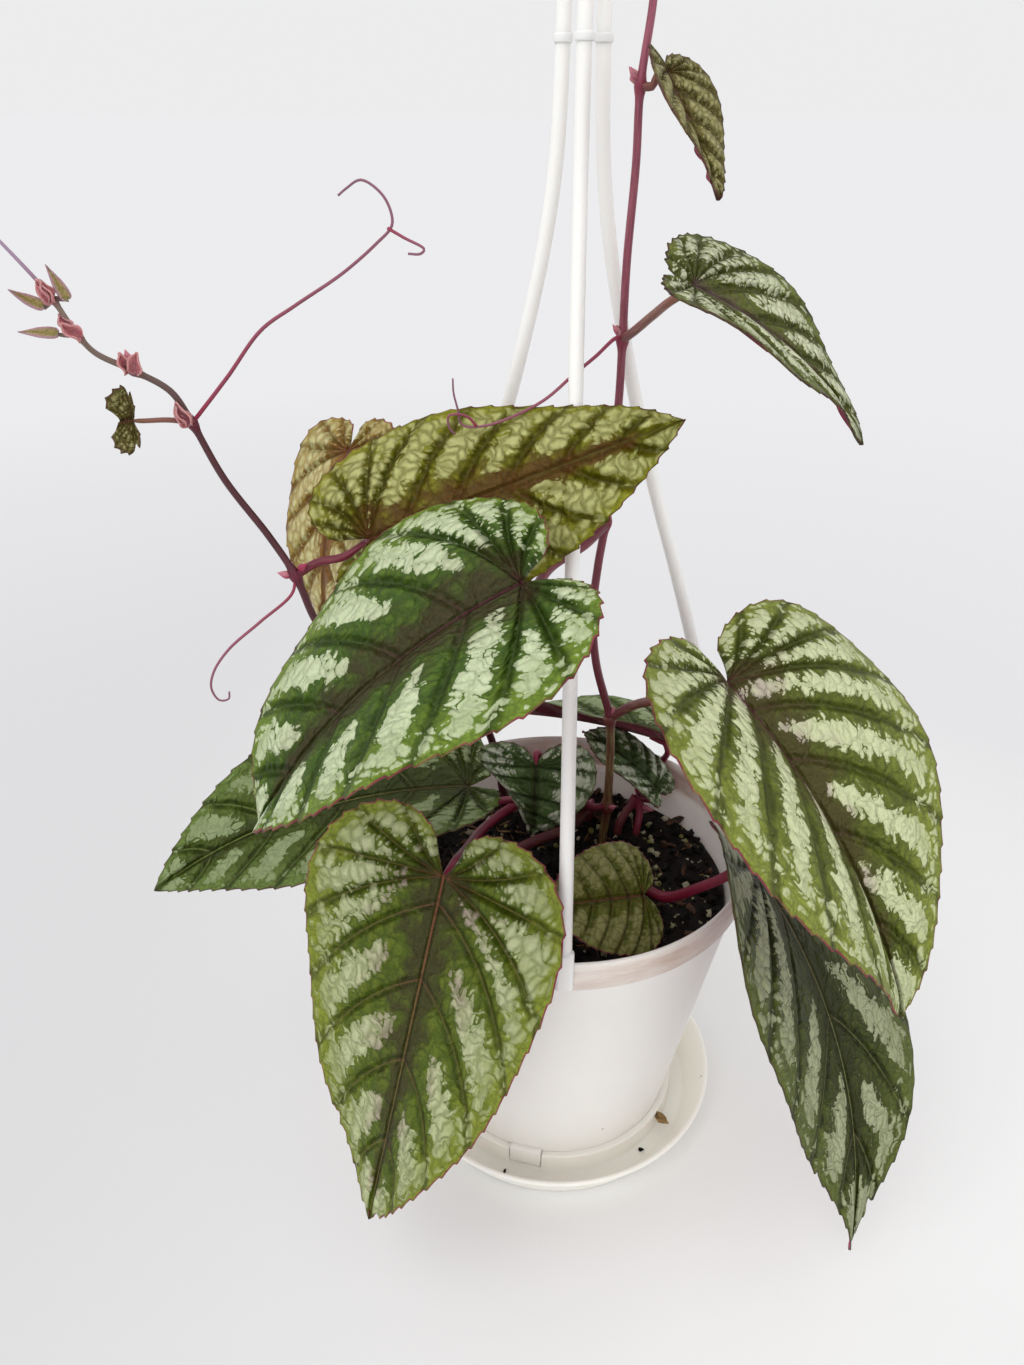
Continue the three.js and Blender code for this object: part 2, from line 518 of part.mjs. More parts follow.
// The soil: fills the pot to a lumpy top, with a plain hole for each stem
function soil() {
  const rings = [0, 0.2, 0.4, 0.6, 0.8, 0.93, 1];
  const sides = 30;
  const wallSlope = (RIM_RADIUS - BAND_STEP - FOOT_RADIUS) / (RIM_TOP - BAND_HEIGHT - POT_FLOOR - 5.8);
  const bottom = POT_FLOOR + POT_FLOOR_THICK + CLEARANCE;
  const topRadius = FOOT_RADIUS - WALL + wallSlope * (SOIL_TOP - POT_FLOOR - 6) - 0.9;
  const lump = (x, y) => 0.9 * Math.sin(x / 4.3) * Math.cos(y / 5.1) + 0.6 * Math.sin((x + y) / 2.9);
  const circles = rings.slice(1).map((share) => [share * topRadius, share < 1 ? SOIL_TOP : SOIL_TOP - 0.5, share < 1]);
  circles.push([FOOT_RADIUS - WALL - 0.6, bottom + 4, false], [FOOT_RADIUS - WALL - 3, bottom, false]);
  const corners = [[0, 0, SOIL_TOP + lump(0, 0)], [0, 0, bottom]];
  const triangles = [];
  for (const [radius, height, lumpy] of circles) {
    for (let k = 0; k < sides; k++) {
      const x = radius * Math.cos((2 * Math.PI * k) / sides);
      const y = radius * Math.sin((2 * Math.PI * k) / sides);
      corners.push([x, y, lumpy ? height + lump(x, y) : height]);
    }
  }
  const last = 2 + (circles.length - 1) * sides;
  for (let k = 0; k < sides; k++) {
    const next = (k + 1) % sides;
    triangles.push([0, 2 + k, 2 + next], [1, last + next, last + k]);
    for (let a = 2; a < last; a += sides) {
      triangles.push([a + k, a + k + sides, a + next + sides], [a + k, a + next + sides, a + next]);
    }
  }
  const roots = [TALL_ROOT, LONG_ROOT, CROWN_ROOT, RUNNER_ROOT, ...SIDE_ROOTS, FRONT_ROOT];
  const holes = roots.map(([x, y]) => bar(point([x, y, HOLE_BOTTOM]), point([x, y, SOIL_TOP + 6]), 3));
  return cut(solidOf(geometryFrom(corners, triangles)), holes);
}

// One strand of the hanger: a bowed bar with a moulded ring near its top, and a foot with a peg at the rim
function strand(angle) {
  const out = new THREE.Vector3(Math.cos(angle * DEGREE), Math.sin(angle * DEGREE), 0);
  const at = ([radius, height]) => out.clone().multiplyScalar(radius).setZ(height).toArray();
  const { width, depth, low, high } = STRAND_FOOT;
  const footRadius = RIM_RADIUS + CLEARANCE + depth / 2;
  const route = [[6, HUB_BOTTOM - CLEARANCE], [6, 415], [6.2, 386], [7.5, 358], [11, 335], [19.5, 301], [31.5, 262],
    [44, 227], [57, 188], [66, 156], [71.6, high - 2]];
  const foot = new THREE.BoxGeometry(depth, width, high - low);
  foot.translate(footRadius, 0, (low + high) / 2);
  foot.rotateZ(angle * DEGREE);
  const head = new THREE.CylinderGeometry(PEG_RADIUS, PEG_RADIUS + 0.9, 1.4, 8);
  head.rotateZ(Math.PI / 2);
  head.translate(RIM_RADIUS - WALL - 1.9, 0, PEG_HEIGHT);
  head.rotateZ(angle * DEGREE);
  return joined([
    stem(route.map(at), [STRAND_RADIUS - 0.1, STRAND_RADIUS + 0.2], { sides: 7, step: 15 }),
    bar(point(at([6.2, 385])), point(at([6.2, 387.4])), STRAND_RADIUS + 0.5, 7),
    foot,
    bar(point(at([footRadius, PEG_HEIGHT])), point(at([RIM_RADIUS - WALL - 1.9, PEG_HEIGHT])), PEG_RADIUS),
    head,
  ]);
}

// The hanger's head: a round hub over the three strands, and a hook moulded on it
function hangerHook() {
  const top = HUB_BOTTOM + HUB_HEIGHT;
  const hub = turned([[0, HUB_BOTTOM], [HUB_RADIUS - 1, HUB_BOTTOM], [HUB_RADIUS, HUB_BOTTOM + 1],
    [HUB_RADIUS, HUB_BOTTOM + 3], [4, top], [0, top]], 16);
  const centre = top + 8 + HOOK_RADIUS;
  const route = [[0, 0, top - 2], [0, 0, top + 4], [2, 0, top + 8]];
  for (let angle = -70; angle <= 190; angle += 26) {
    const x = HOOK_RADIUS * Math.cos(angle * DEGREE);
    route.push([x, 0, centre + HOOK_RADIUS * Math.sin(angle * DEGREE)]);
  }
  return joined([hub, stem(route, [2.6, 2.1], { sides: 7, step: 8 })]);
}

// Colours, roughness and the group
const WHITE = { color: 0xe9e6e2, roughness: 0.45 };
const STEM_RED = { color: 0x7d2238, roughness: 0.5 };
const STEM_PURPLE = { color: 0x52222e, roughness: 0.5 };
const LEAF = { color: 0x5f7d4c, roughness: 0.42 };
const SOIL = { color: 0x2b211b, roughness: 0.95 };
const BACKLIT = { color: 0x8a8a45, roughness: 0.45 };
const YOUNG = { color: 0xa78c86, roughness: 0.5 };

const group = new THREE.Group();
function place(name, geometry, finish) {
  const mesh = new THREE.Mesh(geometry, new THREE.MeshStandardMaterial({ ...finish, metalness: 0 }));
  mesh.name = name;
  group.add(mesh);
}

place("pot", geometryOf(pot()), WHITE);
place("saucer", geometryOf(saucer()), WHITE);
place("soil", geometryOf(soil()), SOIL);
for (const [side, angle] of Object.entries(STRAND_ANGLES)) {
  place("hanger_strand_" + side, geometryOf(strand(angle)), WHITE);
}
place("hanger_hook", geometryOf(hangerHook()), WHITE);
place("vine_tall", geometryOf(vineTall()), STEM_RED);
place("vine_long", geometryOf(vineLong()), STEM_PURPLE);
place("crown_shoot", geometryOf(crownShoot()), STEM_RED);
place("side_shoot", geometryOf(sideShoot()), STEM_RED);
place("front_shoot", geometryOf(frontShoot()), STEM_RED);
for (const [name, blade] of Object.entries(LEAVES)) {
  const backlit = name === "leaf_across" || name === "leaf_behind";
  const young = name.startsWith("tip_") || name === "crest_blade";
  place(name, bladeGeometry(blade), backlit ? BACKLIT : young ? YOUNG : LEAF);
}

export default group;
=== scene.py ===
import math

import bpy
import numpy as np
from mathutils import Matrix, Vector


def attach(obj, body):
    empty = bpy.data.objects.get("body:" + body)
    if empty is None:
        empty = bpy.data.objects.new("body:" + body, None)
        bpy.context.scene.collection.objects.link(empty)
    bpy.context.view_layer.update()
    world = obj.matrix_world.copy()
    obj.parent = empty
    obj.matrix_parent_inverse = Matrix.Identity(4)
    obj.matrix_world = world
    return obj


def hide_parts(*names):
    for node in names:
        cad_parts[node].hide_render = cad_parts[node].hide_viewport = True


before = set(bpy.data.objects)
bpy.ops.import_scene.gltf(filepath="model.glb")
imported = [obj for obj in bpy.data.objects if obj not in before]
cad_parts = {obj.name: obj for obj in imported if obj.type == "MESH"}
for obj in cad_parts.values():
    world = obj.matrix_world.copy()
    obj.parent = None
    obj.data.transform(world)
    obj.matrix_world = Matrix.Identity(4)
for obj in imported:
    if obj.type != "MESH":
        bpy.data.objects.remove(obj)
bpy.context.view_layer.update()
# The pieces are modelled in millimetres, and Blender counts in metres
MM = 0.001


# The camera stands in front of the pot, a little above its hanger's middle, and looks down on the soil.
# Its place, tilt and 28 mm lens were solved from the ellipses of the rim, the foot and the saucer.
CAMERA_BACK, CAMERA_HEIGHT, LENS = 324, 371.5, 28
LOOKING_DOWN, TILT, TURN = 28.7, -0.1, 3.3

camera_data = bpy.data.cameras.new("camera")
camera_data.lens = LENS
camera_data.sensor_width = 36
camera_data.clip_start = 0.01
camera = bpy.data.objects.new("camera", camera_data)
camera.rotation_mode = "XYZ"
camera.location = (0, -CAMERA_BACK * MM, CAMERA_HEIGHT * MM)
camera.rotation_euler = (math.radians(90 - LOOKING_DOWN), math.radians(TILT), math.radians(TURN))
bpy.context.scene.collection.objects.link(camera)
bpy.context.scene.camera = camera


# The pot is moulded white polypropylene with a satin skin. Its tapered wall steps out to a rim band, warmer
# as light comes through it, with three holes for the hanger's pegs. Six drain holes go through its floor,
# and three flat tabs at its foot clip into the saucer's collar.
RIM_RADIUS, RIM_TOP, BAND_HEIGHT, BAND_STEP = 70, 130, 12, 2.6
FOOT_RADIUS, WALL, POT_FLOOR, POT_FLOOR_THICK = 46.3, 1.9, 2.8, 2.4
STRAND_ANGLES = {"front": 272, "right": 31, "left": 151}
PEG_HEIGHT, PEG_RADIUS = 126, 1.5
TAB_ANGLES, TAB_DEPTH, TAB_WIDTH, TAB_HEIGHT = (258, 18, 138), 2.7, 12.4, 7.4
TAB_OUT, TAB_MIDDLE = 47.85, 8.2
DRAIN_HOLES, DRAIN_RING, DRAIN_RADIUS = 6, 26, 4


def linear(hex_colour):
    """An sRGB hex colour as linear red, green, blue and alpha."""
    parts = [int(hex_colour[i : i + 2], 16) / 255 for i in (1, 3, 5)]
    return [c / 12.92 if c <= 0.04045 else ((c + 0.055) / 1.055) ** 2.4 for c in parts] + [1.0]


def add(tree, kind, values=(), out=0, **settings):
    """Adds one node. values go to its inputs, by place or by name: a number, a hex colour or a socket."""
    node = tree.nodes.new("ShaderNode" + kind)
    for key, value in settings.items():
        setattr(node, key, value)
    pairs = values.items() if isinstance(values, dict) else enumerate(values)
    for key, value in pairs:
        if isinstance(value, bpy.types.NodeSocket):
            tree.links.new(value, node.inputs[key])
        else:
            node.inputs[key].default_value = linear(value) if isinstance(value, str) else value
    return node.outputs[out]


def surface(name, **settings):
    """A new material with one Principled shader. Returns the material, its tree and the shader."""
    made = bpy.data.materials.new(name)
    made.use_nodes = True
    shader = made.node_tree.nodes["Principled BSDF"]
    for key, value in settings.items():
        shader.inputs[key.replace("_", " ")].default_value = value
    return made, made.node_tree, shader


def mesh_object(name, corners, faces):
    """A new mesh object from corners in millimetres."""
    mesh = bpy.data.meshes.new(name)
    mesh.from_pydata([[c * MM for c in corner] for corner in corners], [], faces)
    made = bpy.data.objects.new(name, mesh)
    bpy.context.scene.collection.objects.link(made)
    return made


def pick(*objects):
    """Deselects everything, then selects these objects and makes the first one active."""
    bpy.ops.object.select_all(action="DESELECT")
    for made in objects:
        made.select_set(True)
    bpy.context.view_layer.objects.active = objects[0]


def spun(name, profile, steps=128):
    """A profile of [radius, height] pairs in millimetres, spun round the pot's axis into a closed skin."""
    made = mesh_object(name, [(r, 0, h) for r, h in profile], [])
    made.data.edges.add(len(profile) - 1)
    made.data.edges.foreach_set("vertices", np.repeat(np.arange(len(profile)), 2)[1:-1].astype(np.int32))
    pick(made)
    bpy.ops.object.mode_set(mode="EDIT")
    bpy.ops.mesh.select_all(action="SELECT")
    bpy.ops.mesh.spin(steps=steps, angle=2 * math.pi, center=(0, 0, 0), axis=(0, 0, 1))
    bpy.ops.mesh.select_all(action="SELECT")
    bpy.ops.mesh.remove_doubles(threshold=0.01 * MM)
    bpy.ops.mesh.normals_make_consistent(inside=False)
    bpy.ops.object.mode_set(mode="OBJECT")
    return made


def paint(made, key, kind, domain, values):
    """Gives a mesh an attribute that its material reads."""
    layer = made.data.attributes.new(key, kind, domain)
    values = np.ascontiguousarray(values, np.float32)
    layer.data.foreach_set("vector" if values.ndim == 2 else "value", values.ravel())


def apply_modifier(made, kind, **settings):
    """Adds a modifier with these settings and applies it."""
    pick(made)
    modifier = made.modifiers.new(kind.lower(), kind)
    for key, value in settings.items():
        setattr(modifier, key, value)
    bpy.ops.object.modifier_apply(modifier=modifier.name)


def cut_away(made, cutters):
    """Takes the cutters out of a piece and removes them."""
    for cutter in cutters:
        apply_modifier(made, "BOOLEAN", operation="DIFFERENCE", solver="EXACT", object=cutter)
        bpy.data.objects.remove(cutter)


def smooth(made, degrees=35):
    """Shades a piece smooth, with edges sharper than this angle left hard."""
    pick(made)
    bpy.ops.object.shade_smooth_by_angle(angle=math.radians(degrees))


def hold(made, slot, *nodes):
    """The piece stands for these solids and rides on the part's one body. slot is not used."""
    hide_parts(*nodes)
    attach(made, "root")


def plastic(name, colour, warm, speck_share):
    """Moulded polypropylene: milky, satin, with faint flow mottle and a few dust specks."""
    made, tree, shader = surface(name, Roughness=0.36, IOR=1.49)
    shader.inputs["Subsurface Weight"].default_value = 0.25
    shader.inputs["Subsurface Radius"].default_value = (1.0, 0.8, 0.7)
    shader.inputs["Subsurface Scale"].default_value = 0.003
    place = add(tree, "TexCoord", out=3)
    mottle = add(tree, "TexNoise", {"Vector": place, "Scale": 45.0, "Detail": 3.0})
    tint = add(tree, "Mix", {0: mottle, 6: colour, 7: warm}, 2, data_type="RGBA")
    dust = add(tree, "TexVoronoi", {"Vector": place, "Scale": 95.0, "Randomness": 1.0})
    speck = add(tree, "MapRange", [dust, 0.035, 0.06, 1.0, 0.0])
    chance = add(tree, "TexNoise", {"Vector": place, "Scale": 31.0, "Detail": 0.0})
    rare = add(tree, "MapRange", [chance, 0.66 - speck_share, 0.68 - speck_share, 0.0, 0.55])
    dirt = add(tree, "Math", [speck, rare], operation="MULTIPLY")
    dirty = add(tree, "Mix", {0: dirt, 6: tint, 7: "#4a4038"}, 2, data_type="RGBA")
    tree.links.new(dirty, shader.inputs["Base Color"])
    grain = add(tree, "TexNoise", {"Vector": place, "Scale": 900.0, "Detail": 2.0})
    bump = add(tree, "Bump", {"Strength": 0.06, "Distance": 0.0002, "Height": grain})
    tree.links.new(bump, shader.inputs["Normal"])
    return made, tree, shader


def pot_profile():
    """Half of the pot's section, from under its floor, up the outside, over the lip and down the inside."""
    band_bottom = RIM_TOP - BAND_HEIGHT
    shoulder = RIM_RADIUS - BAND_STEP
    inside = POT_FLOOR + POT_FLOOR_THICK
    return [
        (0, POT_FLOOR + 0.8), (38, POT_FLOOR + 0.8), (39, POT_FLOOR), (43, POT_FLOOR),
        (44.6, POT_FLOOR + 0.6), (45.4, POT_FLOOR + 1.9), (FOOT_RADIUS, POT_FLOOR + 5.2),
        (shoulder, band_bottom - 1.2), (shoulder + 0.4, band_bottom - 0.3),
        (RIM_RADIUS - 0.7, band_bottom + 0.5), (RIM_RADIUS - 0.1, band_bottom + 1.4),
        (RIM_RADIUS, RIM_TOP - 1.2), (RIM_RADIUS - 0.3, RIM_TOP - 0.3), (RIM_RADIUS - 0.9, RIM_TOP),
        (RIM_RADIUS - WALL + 0.5, RIM_TOP - 0.2), (RIM_RADIUS - WALL, RIM_TOP - 0.9),
        (RIM_RADIUS - WALL - 0.6, band_bottom), (shoulder - WALL, band_bottom - 3),
        (FOOT_RADIUS - WALL, inside + 3.5), (FOOT_RADIUS - WALL - 2.5, inside), (0, inside),
    ]


def rod(radius, start, end):
    """A round bar between two points in millimetres, used as a piece or as a cutter."""
    start, end = Vector(start), Vector(end)
    bpy.ops.object.select_all(action="DESELECT")
    bpy.ops.mesh.primitive_cylinder_add(vertices=24, radius=radius * MM, depth=(end - start).length * MM)
    made = bpy.context.active_object
    turn = (end - start).to_track_quat("Z", "Y").to_matrix().to_4x4()
    made.data.transform(Matrix.Translation((start + end) / 2 * MM) @ turn)
    return made


def fused(name, pieces):
    """Joins finished pieces into one object."""
    pick(*pieces)
    bpy.ops.object.join()
    made = bpy.context.active_object
    made.name = made.data.name = name
    return made


def block(size, middle, angle, round_by=0.0, segments=3):
    """A box in millimetres, placed out along X, turned round the pot's axis, its edges rounded if asked."""
    bpy.ops.object.select_all(action="DESELECT")
    bpy.ops.mesh.primitive_cube_add(size=1)
    made = bpy.context.active_object
    turn = Matrix.Rotation(math.radians(angle), 4, "Z")
    stretch = Matrix.Diagonal((*(side * MM for side in size), 1))
    made.data.transform(turn @ Matrix.Translation(Vector(middle) * MM) @ stretch)
    if round_by:
        apply_modifier(made, "BEVEL", width=round_by * MM, segments=segments)
    return made


pot = spun("pot", pot_profile())
peg_holes = []
for angle in STRAND_ANGLES.values():
    out = Vector((math.cos(math.radians(angle)), math.sin(math.radians(angle)), 0))
    height = Vector((0, 0, PEG_HEIGHT))
    peg_holes.append(rod(PEG_RADIUS + 0.35, out * (RIM_RADIUS - 6) + height, out * (RIM_RADIUS + 3) + height))
drain_holes = []
for angle in range(0, 360, 360 // DRAIN_HOLES):
    x, y = DRAIN_RING * math.cos(math.radians(angle)), DRAIN_RING * math.sin(math.radians(angle))
    drain_holes.append(rod(DRAIN_RADIUS, (x, y, 0), (x, y, POT_FLOOR + POT_FLOOR_THICK + 2.8)))
cut_away(pot, peg_holes + drain_holes)
tab_size = (TAB_DEPTH, TAB_WIDTH, TAB_HEIGHT)
tabs = [block(tab_size, (TAB_OUT, 0, TAB_MIDDLE), angle, 0.3) for angle in TAB_ANGLES]
pot = fused("pot", [pot, *tabs])
smooth(pot)

pot_plastic, tree, shader = plastic("white_polypropylene_pot", "#f6f2ec", "#faf7f1", 0.0)
# The band is warmer and darker than the wall, in streaks, as the light comes through it unevenly
place = add(tree, "TexCoord", out=3)
height = add(tree, "SeparateXYZ", [place], 2)
in_band = add(tree, "MapRange", [height, 0.1165, 0.1195, 0.0, 1.0])
below_lip = add(tree, "MapRange", [height, 0.127, 0.1296, 1.0, 0.25])
drawn_out = add(tree, "VectorMath", {0: place, 1: (1.0, 1.0, 6.0)}, operation="MULTIPLY")
streak = add(tree, "TexNoise", {"Vector": drawn_out, "Scale": 22.0, "Detail": 5.0, "Roughness": 0.65})
streak = add(tree, "MapRange", [streak, 0.35, 0.65, 0.3, 1.0])
band_share = add(tree, "Math", [in_band, below_lip], operation="MULTIPLY")
band_share = add(tree, "Math", [band_share, streak], operation="MULTIPLY")
plain = shader.inputs["Base Color"].links[0].from_socket
banded = add(tree, "Mix", {0: band_share, 6: plain, 7: "#c6ac9a"}, 2, data_type="RGBA")
tree.links.new(banded, shader.inputs["Base Color"])
pot.data.materials.append(pot_plastic)
hold(pot, "pot_plastic", "pot")


# The saucer is a shallow dish of the same plastic, slightly creamier, that clips on under the pot: a collar
# stands in it round the pot's foot, with three notches in its top that the tabs on the pot's wall drop into.
SAUCER_RADIUS, SAUCER_HEIGHT, SAUCER_FOOT_RADIUS, SAUCER_THICK = 65, 15.5, 57, 2.5
COLLAR_INNER, COLLAR_OUTER, COLLAR_TOP = 47.4, 49.3, 10.5
NOTCH_WIDTH, NOTCH_BOTTOM = TAB_WIDTH + 0.6, 4

saucer = spun("saucer", [
    (0, 0.3), (52, 0.3), (53, 0), (SAUCER_FOOT_RADIUS - 1.4, 0), (SAUCER_FOOT_RADIUS - 0.4, 0.3),
    (SAUCER_FOOT_RADIUS, 1.1), (SAUCER_FOOT_RADIUS + 2.2, 5), (SAUCER_RADIUS - 0.9, SAUCER_HEIGHT - 2.2),
    (SAUCER_RADIUS - 0.2, SAUCER_HEIGHT - 1.6), (SAUCER_RADIUS, SAUCER_HEIGHT - 0.8),
    (SAUCER_RADIUS - 0.4, SAUCER_HEIGHT - 0.1), (SAUCER_RADIUS - 1, SAUCER_HEIGHT),
    (SAUCER_RADIUS - 1.6, SAUCER_HEIGHT - 0.3), (SAUCER_RADIUS - 2.2, SAUCER_HEIGHT - 1.2),
    (SAUCER_FOOT_RADIUS - 1, SAUCER_THICK + 1), (SAUCER_FOOT_RADIUS - 1.5, SAUCER_THICK + 0.3),
    (SAUCER_FOOT_RADIUS - 2.2, SAUCER_THICK), (COLLAR_OUTER + 0.8, SAUCER_THICK),
    (COLLAR_OUTER + 0.2, SAUCER_THICK + 0.2), (COLLAR_OUTER, SAUCER_THICK + 0.8),
    (COLLAR_OUTER, COLLAR_TOP - 0.5), (COLLAR_OUTER - 0.4, COLLAR_TOP), (COLLAR_INNER - 0.55, COLLAR_TOP),
    (COLLAR_INNER - 0.68, COLLAR_TOP - 0.4), (COLLAR_INNER - 0.7, SAUCER_THICK + 3),
    (COLLAR_INNER, SAUCER_THICK), (0, SAUCER_THICK),
], steps=144)
collar_middle = (COLLAR_INNER + COLLAR_OUTER) / 2
notch_height = 2 * (COLLAR_TOP - NOTCH_BOTTOM)
notch = dict(size=(8, NOTCH_WIDTH, notch_height), middle=(collar_middle, 0, COLLAR_TOP))
cut_away(saucer, [block(angle=angle, **notch) for angle in TAB_ANGLES])
smooth(saucer)
saucer_plastic, tree, shader = plastic("white_polypropylene_saucer", "#f9f6ec", "#fbf9f0", 0.02)
saucer.data.materials.append(saucer_plastic)
hold(saucer, "saucer_plastic", "saucer")


# Potting soil: damp black peat with fine bark, and expanded perlite, the pale grains that float up in it.
# The top is loose and lumpy, and sinks a little at the wall. Two crumbs of it fell in the saucer.
SOIL_TOP, SOIL_SIDES, SOIL_RINGS, STEM_HOLE_BOTTOM = 108, 120, 34, 96
SINKS_AT_WALL = 0.8
wall_slope = (RIM_RADIUS - BAND_STEP - FOOT_RADIUS) / (RIM_TOP - BAND_HEIGHT - POT_FLOOR - 5.8)
soil_radius = FOOT_RADIUS - WALL + wall_slope * (SOIL_TOP - POT_FLOOR - 6) - 0.5


def soil_height(x, y):
    """The lumpy top: the source's slow waves and finer crumbs on them."""
    slow = 0.9 * np.sin(x / 4.3) * np.cos(y / 5.1) + 0.6 * np.sin((x + y) / 2.9)
    fine = 0.45 * np.sin(x * 1.9 + 2 * np.sin(y * 1.3)) * np.cos(y * 2.1 + 1.5 * np.sin(x * 1.1))
    grit = 0.3 * np.sin(x * 4.7 + 3 * np.sin(y * 2.9)) * np.cos(y * 5.3 + 2 * np.sin(x * 3.7))
    return SOIL_TOP + slow + fine + grit


bpy.ops.object.select_all(action="DESELECT")
bpy.ops.mesh.primitive_circle_add(vertices=SOIL_SIDES, radius=soil_radius * MM, location=(0, 0, 0))
soil = bpy.context.active_object
soil.name = "soil"
bpy.ops.object.mode_set(mode="EDIT")
bpy.ops.mesh.select_all(action="SELECT")
for ring in range(1, SOIL_RINGS):
    shrink = (SOIL_RINGS - ring) / (SOIL_RINGS - ring + 1)
    bpy.ops.mesh.extrude_edges_move()
    bpy.ops.transform.resize(value=(shrink, shrink, 1), center_override=(0, 0, 0))
bpy.ops.mesh.merge(type="CENTER")
bpy.ops.object.mode_set(mode="OBJECT")
top = np.array([v.co for v in soil.data.vertices]) / MM
height = soil_height(top[:, 0], top[:, 1])
at_wall = np.hypot(top[:, 0], top[:, 1]) > soil_radius - 0.5
height[at_wall] = SOIL_TOP - SINKS_AT_WALL
for vertex, z in zip(soil.data.vertices, height):
    vertex.co.z = z * MM
bpy.ops.object.mode_set(mode="EDIT")
bpy.ops.mesh.select_all(action="DESELECT")
bpy.ops.mesh.select_mode(type="EDGE")
bpy.ops.mesh.select_non_manifold()
side_bottom = POT_FLOOR + POT_FLOOR_THICK + 4.35
drop = side_bottom - (SOIL_TOP - SINKS_AT_WALL)
shrink = (FOOT_RADIUS - WALL - 0.6) / soil_radius
bpy.ops.mesh.extrude_edges_move(TRANSFORM_OT_translate={"value": (0, 0, drop * MM)})
bpy.ops.transform.resize(value=(shrink, shrink, 1), center_override=(0, 0, 0))
bpy.ops.mesh.edge_face_add()
bpy.ops.mesh.select_all(action="SELECT")
bpy.ops.mesh.normals_make_consistent(inside=False)
bpy.ops.object.mode_set(mode="OBJECT")
smooth(soil, 60)


def grains(name, count, sizes, flat, seed, spots=None, slim=1.0):
    """Copies of one rough pebble of 80 faces, strewn on the soil and sunk a third of the way into it."""
    draw = np.random.default_rng(seed)
    bpy.ops.object.select_all(action="DESELECT")
    bpy.ops.mesh.primitive_ico_sphere_add(subdivisions=2, radius=1)
    pebble = bpy.context.active_object
    points = np.array([v.co for v in pebble.data.vertices])
    faces = np.array([list(p.vertices) for p in pebble.data.polygons])
    bpy.data.objects.remove(pebble)
    corners, polygons = [], []
    while len(polygons) < count:
        if spots:
            x, y, z = spots[len(polygons)]
        else:
            radius = soil_radius * 0.985 * math.sqrt(draw.random())
            angle = 2 * math.pi * draw.random()
            x, y = radius * math.cos(angle), radius * math.sin(angle)
            z = float(soil_height(x, y))
        size = sizes[0] + (sizes[1] - sizes[0]) * draw.random() ** 2.5
        rough = points * (1 + 0.22 * draw.standard_normal((len(points), 1)))
        turn = np.array(Matrix.Rotation(draw.random() * 6.3, 3, Vector(draw.standard_normal(3)).normalized()))
        shape = (rough * [size / 2, size / 2 * slim * (0.6 + 0.4 * draw.random()), size / 2 * flat]) @ turn.T
        polygons.append(faces + len(corners) * len(points))
        corners.append(shape + [x, y, z + size * 0.12])
    return mesh_object(name, np.concatenate(corners).tolist(), np.concatenate(polygons).tolist())


crumbs = grains("peat_crumbs", 1300, (0.9, 4.6), 0.75, 3)
bark = grains("bark_chips", 170, (2.2, 8.0), 0.3, 4, slim=0.5)
fibres = grains("root_fibres", 70, (5.0, 12.0), 0.06, 6, slim=0.08)
perlite = grains("perlite", 430, (0.7, 3.8), 0.85, 5)
saucer_crumbs = grains("saucer_crumbs", 2, (1.6, 2.2), 0.6, 9, spots=[(35.9, -38.1, 3.0), (-18, -51, 2.9)])
seed_husk = grains("seed_husk", 1, (8.0, 8.0), 0.42, 11, spots=[(44.2, -25.5, 6.0)], slim=0.5)

# Damp peat: nearly black crumbs with a dull wet gloss and brown fibres.
peat, tree, shader = surface("damp_peat", Roughness=0.6)
shader.inputs["Specular IOR Level"].default_value = 0.25
place = add(tree, "TexCoord", out=3)
clods = add(tree, "TexNoise", {"Vector": place, "Scale": 300.0, "Detail": 8.0, "Roughness": 0.75})
fibre = add(tree, "TexVoronoi", {"Vector": place, "Scale": 700.0})
dark = add(tree, "MapRange", [clods, 0.42, 0.7, 0.0, 1.0])
colour = add(tree, "Mix", {0: dark, 6: "#050403", 7: "#22170f"}, 2, data_type="RGBA")
fleck = add(tree, "MapRange", [fibre, 0.18, 0.06, 0.0, 0.5])
flecked = add(tree, "Mix", {0: fleck, 6: colour, 7: "#5a4426"}, 2, data_type="RGBA")
tree.links.new(flecked, shader.inputs["Base Color"])
bump = add(tree, "Bump", {"Strength": 1.0, "Distance": 0.0016, "Height": clods})
tree.links.new(bump, shader.inputs["Normal"])

# Pine bark and husks: red-brown flakes in layers.
bark_wood, tree, shader = surface("pine_bark", Roughness=0.7)
place = add(tree, "TexCoord", out=3)
layers = add(tree, "TexNoise", {"Vector": place, "Scale": 240.0, "Detail": 4.0, "Distortion": 1.2})
tone = add(tree, "MapRange", [layers, 0.35, 0.68, 0.0, 1.0])
colour = add(tree, "Mix", {0: tone, 6: "#150b07", 7: "#6b472a"}, 2, data_type="RGBA")
tree.links.new(colour, shader.inputs["Base Color"])
bump = add(tree, "Bump", {"Strength": 0.6, "Distance": 0.0006, "Height": layers})
tree.links.new(bump, shader.inputs["Normal"])

# Dry root fibres and husk: straw brown, streaked.
straw, tree, shader = surface("dry_fibre", Roughness=0.65)
place = add(tree, "TexCoord", out=3)
tone = add(tree, "TexNoise", {"Vector": place, "Scale": 320.0, "Detail": 3.0})
tone = add(tree, "MapRange", [tone, 0.35, 0.65, 0.0, 1.0])
colour = add(tree, "Mix", {0: tone, 6: "#4a2f16", 7: "#b08d55"}, 2, data_type="RGBA")
tree.links.new(colour, shader.inputs["Base Color"])

